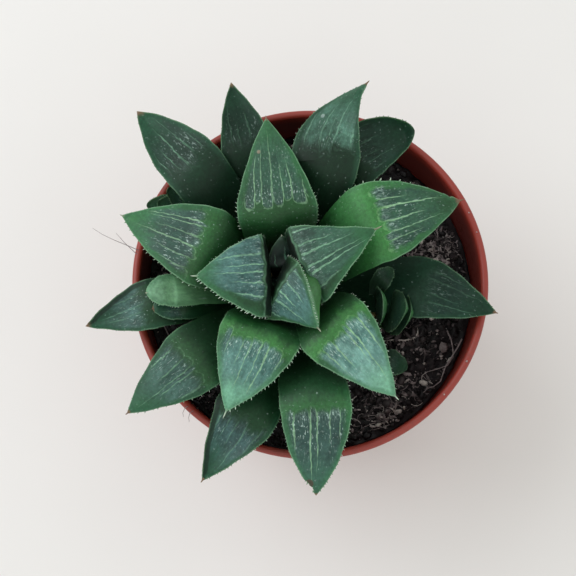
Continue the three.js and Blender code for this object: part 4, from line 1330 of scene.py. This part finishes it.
stem_spots, stem_faces = gather(stem_parts)
stem_spots = np.array(stem_spots) + [CROWN[0], CROWN[1], 0]
stem_mesh = make_mesh("stem_fine", stem_spots, stem_faces)
stem_mesh.set_sharp_from_angle(angle=math.radians(50))
place_piece("stem_fine", stem_mesh, bark, "stem", "stem")
print("stem faces:", len(stem_faces))

# %% [markdown]
# ## The stalks of the young rosettes
# A young rosette grows on a thin stalk of the same bark, out of the peat beside the stem.
# It could be a plain cone, but its small scars catch the light, so the lathe makes it too.

# %% Stalks of the young rosettes
STALK_FOOT = 50
STALK_RADIUS = 1.8
STALK_NARROWS_TO = 0.7
STALK_SCAR_SPACING = 1.1
STALK_SCAR_DEPTH = 0.1

stalk_meshes = []
for offset, spot, top, _ in OFFSETS:
    heights = np.arange(STALK_FOOT + 0.4, top - 0.3, 0.4)
    share = (heights - STALK_FOOT) / (top - STALK_FOOT)
    scars = STALK_SCAR_DEPTH * np.abs(np.sin(heights * math.pi / STALK_SCAR_SPACING))
    radii = STALK_RADIUS * blend(1, STALK_NARROWS_TO, share) - 0.03 - scars
    sides = list(zip(radii, heights))
    outline = [(0, STALK_FOOT), (1.7, STALK_FOOT), *sides, (1.2, top), (0, top)]
    spots, faces = turned(outline, 24)
    mesh = make_mesh(offset + "_stalk_fine", spots + [spot[0], spot[1], 0], faces)
    place_piece(offset + "_stalk_fine", mesh, bark, "stem", offset + "_stalk")
    stalk_meshes.append(mesh)
print("stalks:", len(stalk_meshes))

# %% [markdown]
# ## Growing all the leaves
# On the plant each leaf grows out from between the ones inside it. Here each is made whole,
# cut by every leaf made before it, and then gets its teeth. A cut leaf would be too small a
# cutter, so its whole form stays in a list, for the leaves that follow and for the peat.

# %% Growing all the leaves
whole_bodies = [stem_mesh.copy()]
triangles = 0
for leaf in ROSETTE + young_leaves:
    spots, faces, numbers = leaf_body(leaf)
    whole = make_mesh(leaf["name"] + "_whole", spots, faces, numbers)
    skin = cut_by(whole.copy(), whole_bodies)
    skin.name = leaf["name"] + "_fine"
    whole_bodies.append(whole)
    tooth_spots, tooth_faces, tooth_numbers = leaf_teeth(leaf, skin)
    if tooth_spots:
        teeth = make_mesh("teeth", tooth_spots, tooth_faces, tooth_numbers)
        skin = join_meshes(skin, teeth)
        bpy.data.meshes.remove(teeth)
    skin.set_sharp_from_angle(angle=math.radians(CREASE_DEG))
    tissue = leaf_tissue(leaf["name"] + "_waxy_tissue", {**leaf["look"], "seed": leaf["seed"]})
    place_piece(leaf["name"] + "_fine", skin, tissue, leaf["slot"], leaf["name"])
    triangles += sum(len(p.vertices) - 2 for p in skin.polygons)
print("triangles in the leaves:", triangles)

# %% [markdown]
# ## The lie of the peat
# The potting mix is dark peat that fills the pot to 13 mm below the rim. It is a little
# higher in the middle and lies in clods. A picture of heights could say where, but a sum of
# a few waves and noises does, because loose bits can then ask for the height at any place.

# %% Height of the peat
SOIL_TOP = 57
SOIL_RADIUS = 39.61
MOUND_HEIGHT = 0.8
CLOD_HEIGHT = 0.7
# Each wave's share, its turns along x and y, and its phase
CLOD_WAVES = [
    (0.5, 0.83, -0.71, 3.27), (0.5, 0.83, 0.71, -0.67), (0.6, 1.7, -1.1, 0), (0.5, 0.9, 2.1, 2),
]


def peat_height(x, y):
    """The height of the peat's clods in mm."""
    r = math.hypot(x, y)
    mound = MOUND_HEIGHT * (1 - float(smooth(r / SOIL_RADIUS)))
    clods = sum(
        share * math.sin(along_x * x + along_y * y + phase)
        for share, along_x, along_y, phase in CLOD_WAVES
    )
    return SOIL_TOP + mound + CLOD_HEIGHT * clods / sum(wave[0] for wave in CLOD_WAVES)


def crumbly(x, y):
    """The peat's height with its fine crumb."""
    spot = Vector((x, y, 0))
    fine = 0.55 * noise.noise(spot * 0.55) + 0.35 * noise.noise(spot * 1.3 + Vector((9, 2, 5)))
    return peat_height(x, y) + fine + 0.2 * noise.noise(spot * 3.1)


print("peat height at the middle:", round(peat_height(0, 0), 2), "mm")

# %% [markdown]
# ## Potting peat
# Peat is half-rotted moss: nearly black while damp and greyish brown where it dries, and
# its grit is nearly white. The nearly white bits are also in part painted highlights, the
# glints of wet peat. Each kind of bit could have a material of its own, but they differ
# only in how dry or how white they are, so a number on the mesh says that, and one
# material reads it.

# %% Material: potting peat
PEAT_CRUMB_MM = 0.6
DAMP_PATCH_MM = 5.5


def potting_peat(name):
    """Damp peat, nearly black, and its dry bits: greyish brown, and nearly white at most.

    How dry a bit is stands in a number on the mesh, from 0 to 2; the nearly white bits near 2
    are in part painted glints of the wet peat.
    """
    material, tree = empty_material(name)
    spot = add(tree, "TexCoord", out=3)
    crumbs = add(
        tree, "TexNoise",
        {"Vector": spot, "Scale": 0.5 / (PEAT_CRUMB_MM * MM), "Detail": 6.0},
    )
    patch_scale = 0.99 / (DAMP_PATCH_MM * MM)
    patches = add(tree, "TexNoise", {"Vector": spot, "Scale": patch_scale, "Detail": 2.0})
    share = add(tree, "Math", {0: crumbs, 1: patches}, operation="MULTIPLY")
    share = add(tree, "MapRange", {0: share, 1: 0.16, 2: 0.42})
    dryness_and_glint = add(tree, "Attribute", out=2, attribute_name="dryness_and_glint")
    fibrous = add(tree, "MapRange", {0: crumbs, 1: 0.3, 2: 0.7, 3: 0.55, 4: 1.1})
    dryness_and_glint = add(tree, "Math", {0: dryness_and_glint, 1: fibrous}, operation="MULTIPLY")
    brown = add(tree, "MapRange", {0: dryness_and_glint, 1: 0.0, 2: 1.0})
    # Above 1 the bits turn nearly white: white grit, and in part painted glints of the wet peat.
    white = add(tree, "MapRange", {0: dryness_and_glint, 1: 1.0, 2: 2.0})
    tone = colour("#070506")
    for layer, hex_value in ((share, "#272022"), (brown, "#988c8b"), (white, "#d8d0c6")):
        tone = add(tree, "Mix", {0: layer, 6: tone, 7: colour(hex_value)}, **COLOURS)
    bump = add(tree, "Bump", {"Height": crumbs, "Strength": 0.9, "Distance": 0.35 * MM})
    damp = add(tree, "MapRange", {0: patches, 1: 0.4, 2: 0.62, 3: 0.42, 4: 0.9})
    shader = add(
        tree, "BsdfPrincipled",
        {"Base Color": tone, "Roughness": damp, "Normal": bump, "Specular IOR Level": 0.35},
    )
    add(tree, "OutputMaterial", {"Surface": shader})
    return material


peat = potting_peat("damp_peat")
print("peat crumb:", PEAT_CRUMB_MM, "mm")

# %% [markdown]
# ## The bed of peat
# The bed is one closed body that fills the pot, and leaves and stalks stand in holes in it.
# A bumpy material on a flat disc looks like cloth, so its top has a fine mesh, and every
# point of that is set to the peat's height. The holes are cut as the leaves are.

# %% The bed of peat
FOOT_RADIUS = 29
BODY_TOP_RADIUS = 39.8
STEP_LOW = 54.6
PEAT_CLEAR = 1.59
PEAT_BOTTOM = 3.1
TOP_RINGS = 80
BED_SIDES = 220


def body_radius(height):
    """The outer radius of the pot's tapered body at a height."""
    return FOOT_RADIUS + height / STEP_LOW * (BODY_TOP_RADIUS - FOOT_RADIUS)


outline = [(0, PEAT_BOTTOM), (body_radius(PEAT_BOTTOM) - PEAT_CLEAR, PEAT_BOTTOM),
    (BODY_TOP_RADIUS - PEAT_CLEAR, STEP_LOW - 0.3), (SOIL_RADIUS, 56)]
outline += [(SOIL_RADIUS * r, SOIL_TOP) for r in np.linspace(1, 0, TOP_RINGS)]
spots, faces = turned(outline, BED_SIDES)
for spot in spots:
    if spot[2] == SOIL_TOP:
        spot[2] = crumbly(spot[0], spot[1])
peat_mesh = make_mesh("peat_bed", spots, faces)
peat_mesh = cut_by(peat_mesh, [*whole_bodies, *stalk_meshes])
place_piece("peat_bed", peat_mesh, peat, "peat", "soil")
print("peat bed faces:", len(peat_mesh.polygons))

# %% [markdown]
# ## Crumbs and lumps
# Loose peat is thousands of crumbs of about a millimetre and a few hundred larger lumps. A
# particle system would scatter them too, but plain code with a fixed seed gives the same
# bits each time. Each is a small ball whose points are pushed in and out.

# %% A lump, and where it may lie
PEAT_REACH = 38.6
PATCH_REACH = 38.4
STEM_CLEAR = 7.5


def ball(subdivisions):
    """Points and faces of a unit ball of triangles."""
    made = bmesh.new()
    bmesh.ops.create_icosphere(made, subdivisions=subdivisions, radius=1)
    spots = np.array([v.co for v in made.verts])
    faces = [tuple(v.index for v in f.verts) for f in made.faces]
    made.free()
    return spots, faces


COARSE_BALL, FINE_BALL = ball(1), ball(2)


def lump(rng, place, size, stretch=(1, 1, 0.7), shape=COARSE_BALL):
    """An irregular lump of about that size in mm, turned at random."""
    spots, faces = shape
    spots = spots * (1 + rng.uniform(-0.28, 0.28, (len(spots), 1)))
    turn = np.linalg.qr(rng.normal(size=(3, 3)))[0]
    if np.linalg.det(turn) < 0:
        turn[0] *= -1
    return (spots * np.array(stretch) * size / 2) @ turn + place, faces


def off_stem(x, y, reach):
    """True if a place is within reach of the middle of the pot, and off the stem."""
    return math.hypot(x, y) < reach and math.hypot(x - CROWN[0], y - CROWN[1]) > STEM_CLEAR


def free_spot(rng):
    """A random place on the peat, off the stem."""
    while True:
        x, y = rng.uniform(-39, 39, 2)
        if off_stem(x, y, PEAT_REACH):
            return x, y


def place_bits(name, bits):
    """One mesh from (dryness, points, faces) of each bit, laid down as part of the peat."""
    mesh = make_mesh(name, *gather([(spots, faces) for _, spots, faces in bits]))
    dryness_and_glint = np.concatenate([np.full(len(spots), dry) for dry, spots, _ in bits])
    mesh.attributes.new("dryness_and_glint", "FLOAT", "POINT").data.foreach_set("value", dryness_and_glint)
    place_piece(name, mesh, peat, "peat")
    print(name, "bits:", len(bits), "faces:", len(mesh.polygons))


# Each patch of dry bits: where it lies, how far it spreads, in mm, and how many it has
DRY_PATCHES = [
    ((31, 12.7), 3.6, 95), ((29, 8), 3, 30), ((18, -33.5), 4, 70), ((24, -26), 5, 80),
    ((31, -20), 4, 45), ((21, -13), 2.5, 25), ((-22, -30), 5, 30), ((-33, 5), 4, 25),
    ((8, 33), 6, 15),
]


def bit_spot(rng, i):
    """A spot for bit number i: near a dry patch for the first ones, anywhere after that."""
    for (x, y), spread, count in DRY_PATCHES:
        if i < count:
            x, y = rng.normal((x, y), spread)
            if off_stem(x, y, PATCH_REACH):
                return x, y, 1
            break
        i -= count
    x, y = free_spot(rng)
    return x, y, 0


print("patches of dry bits:", len(DRY_PATCHES))

# %% Crumbs and lumps
CRUMBS = 4600
CRUMB_MM = (0.4, 1.3)
# How dry a crumb may be, and how often; the nearly white ones, above 1, are in part painted glints
CRUMB_DRYNESS_AND_GLINT = {0: 0.62, 0.12: 0.2, 0.4: 0.09, 1.1: 0.06, 1.9: 0.03}
LUMPS = 420
LUMP_MM = (1.3, 2.8)

rng = np.random.default_rng(7)
crumbs = []
for _ in range(CRUMBS):
    x, y = free_spot(rng)
    size = rng.uniform(*CRUMB_MM)
    dry = rng.choice(list(CRUMB_DRYNESS_AND_GLINT), p=list(CRUMB_DRYNESS_AND_GLINT.values()))
    crumbs.append((dry, *lump(rng, (x, y, crumbly(x, y) + size * rng.uniform(0.1, 0.5)), size)))
for _ in range(LUMPS):
    x, y = free_spot(rng)
    size = rng.uniform(*LUMP_MM)
    place = (x, y, crumbly(x, y) + size * 0.12)
    crumbs.append((rng.choice([0, 0.04, 0.14]), *lump(rng, place, size, shape=FINE_BALL)))
place_bits("peat_crumbs", crumbs)

# %% [markdown]
# ## Chips, fibres and grit
# Chips of bark, dry fibres and white grit lie on the crumbs, and many of them gather in
# dry patches. The whitest chips and the grit are in part painted glints of the wet peat.
# Chips and grit are lumps as well, pressed flat or small. A fibre could be a hair, but here
# it is a thin tube that wanders.

# %% Chips of bark, dry fibres and white grit
CHIPS = 1100
FIBRES = 260
FIBRE_MM = (1.5, 6)
FIBRE_STEPS = 6
FIBRE_REACH = 38.8
GRIT_AND_GLINTS = 330
GRIT_MM = (0.22, 0.5)

litter = []
for i in range(CHIPS):
    x, y, patch = bit_spot(rng, i)
    size = rng.uniform(0.6, 1.7 + 0.8 * patch)
    stretch = (1, rng.uniform(0.25, 0.6), rng.uniform(0.15, 0.35))
    dry = rng.uniform(0.2, 1.45) ** 2 if patch else rng.choice([0, 0.05, 0.12, 0.3, 1.1])
    place = (x, y, crumbly(x, y) + rng.uniform(0.2, 0.8))
    litter.append((dry, *lump(rng, place, size, stretch, FINE_BALL)))
for i in range(FIBRES):
    x, y, patch = bit_spot(rng, i)
    heading = rng.uniform(0, 2 * math.pi)
    curl = rng.uniform(-0.9, 0.9)
    length = rng.uniform(*FIBRE_MM)
    spots = []
    for k in range(FIBRE_STEPS + 1):
        arch = 0.45 * math.sin(k * math.pi / FIBRE_STEPS)
        spots.append((x, y, crumbly(x, y) + 0.25 + arch))
        x += math.cos(heading) * length / FIBRE_STEPS
        y += math.sin(heading) * length / FIBRE_STEPS
        heading += curl * rng.uniform(0.3, 1)
    if max(math.hypot(px, py) for px, py, _ in spots) < FIBRE_REACH:
        ends = (rng.uniform(0.07, 0.16), 0.04)
        radii = np.interp(range(FIBRE_STEPS + 1), (0, FIBRE_STEPS), ends)
        litter.append((rng.uniform(0.3, 1.3) ** 2 + 0.3 * patch, *tube(spots, radii, 5)))
# White grit, which also stands for glints of the wet peat: painted highlights.
for _ in range(GRIT_AND_GLINTS):
    x, y = free_spot(rng)
    place = (x, y, crumbly(x, y) + 0.35)
    litter.append((rng.uniform(1.2, 2), *lump(rng, place, rng.uniform(*GRIT_MM))))
place_bits("peat_litter", litter)

# %% [markdown]
# ## What lies on the peat and the rim
# A few larger things show at the right: a round brown pebble, a scrap of a dead leaf with
# a pale toothed edge, and two dry roots that run along the rim and end in a curl. A third
# root lies at the left, and a few specks and fine hairs are on the rim. Chance would not
# put them where they are, so each has its own place in mm.

# %% Pebble and scrap of leaf
finds = [(0.75, *lump(rng, (32.35, -14.2, 58.4), 2.6, (1, 0.85, 0.6), FINE_BALL))]
SCRAP_EDGE = [
    (18.2, -12.7, 58.6), (20.6, -12.4, 59.2), (23.1, -12.7, 59.6), (25.2, -12.1, 59.7),
    (26.25, -10.9, 59.6), (26.1, -9, 59.2),
]
for i in range(len(SCRAP_EDGE) - 1):
    middle = (np.array(SCRAP_EDGE[i]) + SCRAP_EDGE[i + 1]) / 2 + (-0.3, 0.9, -0.3)
    finds.append((0.16, *lump(rng, middle, 3.1, (1, 0.8, 0.3), FINE_BALL)))
finds.append((1.8, *tube(SCRAP_EDGE, [0.1, 0.18, 0.2, 0.18, 0.16, 0.08], 6)))
for t in np.linspace(0.05, 0.95, 16):
    at = np.array([np.interp(t * 5, range(6), line) for line in zip(*SCRAP_EDGE)])
    finds.append((1.7, *tube([at, at + (0.1, -0.55, 0.05)], [0.12, 0.02], 5)))
print("pebble and parts of the scrap:", len(finds))

# %% Dry roots, specks and hairs
DRY_ROOTS = [
    [(36.6, -12.9, 62.5), (35.6, -14.8, 60.5), (34.2, -17, 59.3), (33, -18.8, 58.9),
     (32.4, -20.3, 58.8), (31.6, -22.6, 58.8), (29.9, -23.9, 58.7), (28.5, -24.3, 58.7),
     (27.4, -25.3, 58.4)],
    [(33.4, -10.2, 59), (34.3, -12.4, 59.4), (34.7, -14.5, 59.2), (34.8, -16.6, 58.9),
     (33.4, -18.7, 58.7), (30.8, -19.6, 58.6), (28.2, -20.3, 58.3)],
    [(-34, -12, 58.2), (-35.5, -9, 58.6), (-36.2, -5, 58.7), (-36, -1, 58.4)],
]
RIM_SPECKS = [(37.4, 16.3), (39.25, 11.6), (36.9, -19.6), (31.6, -27.6), (-37.9, 17.3)]
RIM_MIDDLE = 41.6
RIM_TOP = 70.05
HAIRS = [
    [(-26.4, -30.2, 68.2), (-27.6, -31.3, 70.1), (-28.2, -31.7, 70.3), (-28.6, -32.7, 69.6),
     (-28.5, -33.6, 68.4)],
    [(-27.6, -29.3, 68.4), (-28.9, -30.2, 70.1), (-29.5, -30.7, 70.2), (-30, -31.6, 69.3),
     (-29.9, -32.4, 68.3)],
    [(-39.9, 7.2, 68.5), (-41.2, 7.4, 70.15), (-43.6, 8.2, 71.4), (-46.6, 9.3, 72.2),
     (-49.4, 10.6, 72.4), (-51.9, 12.3, 72)],
    [(-40.3, 5.9, 68.6), (-41.6, 6.5, 70.1), (-44.3, 8.9, 71.3), (-46.4, 11.3, 71.2)],
]
for x, y in RIM_SPECKS:
    on_rim = np.array([x, y, 0]) * RIM_MIDDLE / math.hypot(x, y)
    finds.append((1.4, *lump(rng, on_rim + (0, 0, RIM_TOP), rng.uniform(0.35, 0.65))))
for lines, thick, thin, sides in ((HAIRS, 0.1, 0.05, 5), (DRY_ROOTS, 0.2, 0.09, 6)):
    for line in lines:
        finds.append((1.0, *tube(line, np.linspace(thick, thin, len(line)), sides)))
place_bits("peat_finds", finds)

# %% [markdown]
# ## Moulded polypropylene
# A thin nursery pot is injection-moulded polypropylene, dyed terracotta: satin, slightly
# waxy, with an IOR near 1.49. Inside, the wall is darker below the lip: that is painted
# shade, weaker at the lower right, where the inner wall faces the window. A painted map
# could show that, but the place of each point does it without one: radius, height and side
# say where the wall is in painted shade.

# %% Material: moulded polypropylene
CLOUD_MM = 30
GRIME_MM = 1.1
GRIME_ZONE_MM = 16
SCUFF_MM = 0.7
INNER_WALL_MM = (40.6, 40.95)
SHADE_BELOW_MM = (68.6, 66)
STEP_TOP_MM = 56.1


def moulded_polypropylene(name):
    """Dyed polypropylene from a polished mould: satin, with scuffs, dried-on peat dust, and painted
    shade inside.
    """
    material, tree = empty_material(name)
    spot = add(tree, "TexCoord", out=3)
    patterns = []
    for size, cells, detail in (
        (CLOUD_MM, 1.05, 3.0), (GRIME_MM, 0.99, 5.0), (GRIME_ZONE_MM, 0.96, 2.0),
        (SCUFF_MM, 0.98, 2.0),
    ):
        scale = cells / (size * MM)
        patterns.append(add(
            tree, "TexNoise", {"Vector": spot, "Scale": scale, "Detail": detail},
        ))
    cloudy, grime, grime_zone, scuffs = patterns
    grime = add(tree, "Math", {0: grime, 1: grime_zone}, operation="MULTIPLY")
    grime = add(tree, "MapRange", {0: grime, 1: 0.3, 2: 0.42, 3: 0.0, 4: 0.4})

    # Painted shade on the inside of the wall, from the step up to just under the lip,
    # weaker at the lower right, where the wall faces the window
    flat = add(tree, "VectorMath", {0: spot, 1: (1, 1, 0)}, operation="MULTIPLY")
    radius = add(tree, "VectorMath", {0: flat}, out=1, operation="LENGTH")
    inner, outer = [limit * MM for limit in INNER_WALL_MM]
    within = add(tree, "MapRange", {0: radius, 1: inner, 2: outer, 3: 1.0, 4: 0.0})
    height = add(tree, "SeparateXYZ", {0: spot}, out=2)
    shade_starts, shade_full = [limit * MM for limit in SHADE_BELOW_MM]
    damp = add(tree, "MapRange", {0: height, 1: shade_starts, 2: shade_full})
    above_step = add(tree, "Math", {0: height, 1: STEP_TOP_MM * MM}, operation="GREATER_THAN")
    lower_right = add(
        tree, "VectorMath", {0: spot, 1: (0.64, -0.77, 0)}, out=1, operation="DOT_PRODUCT",
    )
    shade_by_side = add(tree, "MapRange", {0: lower_right, 1: 15 * MM, 2: 38 * MM, 3: 0.6, 4: 0.1})
    for share in (within, above_step, shade_by_side):
        damp = add(tree, "Math", {0: damp, 1: share}, operation="MULTIPLY")
    # damp is the painted shade of the inner wall; cloudy and grime are the pot's own tone and dirt.
    tone = colour("#883026")
    for share, hex_value in ((cloudy, "#9a3a2d"), (grime, "#6b4238"), (damp, "#3c1c1c")):
        tone = add(tree, "Mix", {0: share, 6: tone, 7: colour(hex_value)}, **COLOURS)
    rough = add(tree, "MapRange", {0: cloudy, 3: 0.36, 4: 0.5})
    rough = add(tree, "Math", {0: grime, 1: 0.5, 2: rough}, operation="MULTIPLY_ADD")
    bump = add(tree, "Bump", {"Height": scuffs, "Strength": 0.2, "Distance": 0.03 * MM})
    shader = add(tree, "BsdfPrincipled", {
        "Base Color": tone, "Roughness": rough, "Normal": bump, "IOR": 1.49,
        "Subsurface Weight": 0.05, "Subsurface Radius": (1.0, 0.4, 0.25),
        "Subsurface Scale": 0.8 * MM,
    })
    add(tree, "OutputMaterial", {"Surface": shader})
    return material


terracotta = moulded_polypropylene("terracotta_polypropylene")
print("pot material:", terracotta.name)

# %% [markdown]
# ## The pot
# The pot's rolled lip, collar, step, foot ring and hub are one profile, so it is turned on
# the lathe, outside first and then back down the inside. Its six drain holes are drilled
# through the floor by the same cut that trims the leaves. Dark spots would do for the eye
# from above, but a real hole is also there from below.

# %% The pot's body
WALL = 1.2
FLOOR_TOP = 2.8
LIP_MIDDLE = (41.55, 69.05)
LIP_RADIUS = 0.95
POT_SIDES = 240
DRAIN_HOLES = 6
DRAIN_RING_RADIUS = 16
DRAIN_RADIUS = 3
DRILL_HEIGHTS = (-4, 6)

# Hub, foot ring, tapered body, step, collar, and the start of the lip
outside = rounded([
    (0, 0), (7, 0), (7, 1.2), (26, 1.2), (26, 0), (FOOT_RADIUS, 0), (BODY_TOP_RADIUS, STEP_LOW),
    (41.2, 56), (41.8, 67.6), (42.3, 68.1),
], 0.5)
lip = [
    (LIP_MIDDLE[0] + LIP_RADIUS * math.cos(a), LIP_MIDDLE[1] + LIP_RADIUS * math.sin(a))
    for a in np.linspace(-0.5, math.pi, 16)
]
inside = rounded([
    lip[-1], (40, 56), (38.6, STEP_LOW), (body_radius(FLOOR_TOP) - WALL, FLOOR_TOP),
    (0, FLOOR_TOP),
], 0.6)
spots, faces = turned(outside + lip + inside[1:], POT_SIDES)
pot_mesh = make_mesh("pot_fine", spots, faces)
drills = []
low, high = DRILL_HEIGHTS
for i in range(DRAIN_HOLES):
    a = 2 * math.pi * (i + 0.5) / DRAIN_HOLES
    spots, faces = turned([(0, low), (DRAIN_RADIUS, low), (DRAIN_RADIUS, high), (0, high)], 40)
    spots = spots + [DRAIN_RING_RADIUS * math.cos(a), DRAIN_RING_RADIUS * math.sin(a), 0]
    drills.append(make_mesh("drill", spots, faces))
pot_mesh = cut_by(pot_mesh, drills)
pot_mesh.name = "pot_fine"
for drill in drills:
    bpy.data.meshes.remove(drill)
pot_mesh.set_sharp_from_angle(angle=math.radians(40))
place_piece("pot_fine", pot_mesh, terracotta, "pot", "pot")
print("pot faces:", len(pot_mesh.polygons))

# %% [markdown]
# ## The size
# The looks must not change the dimensions, so the box of everything shown is measured
# and printed in mm.

# %% Size
low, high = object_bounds()
print("visual box in mm:", [round(side / MM, 1) for side in high - low])
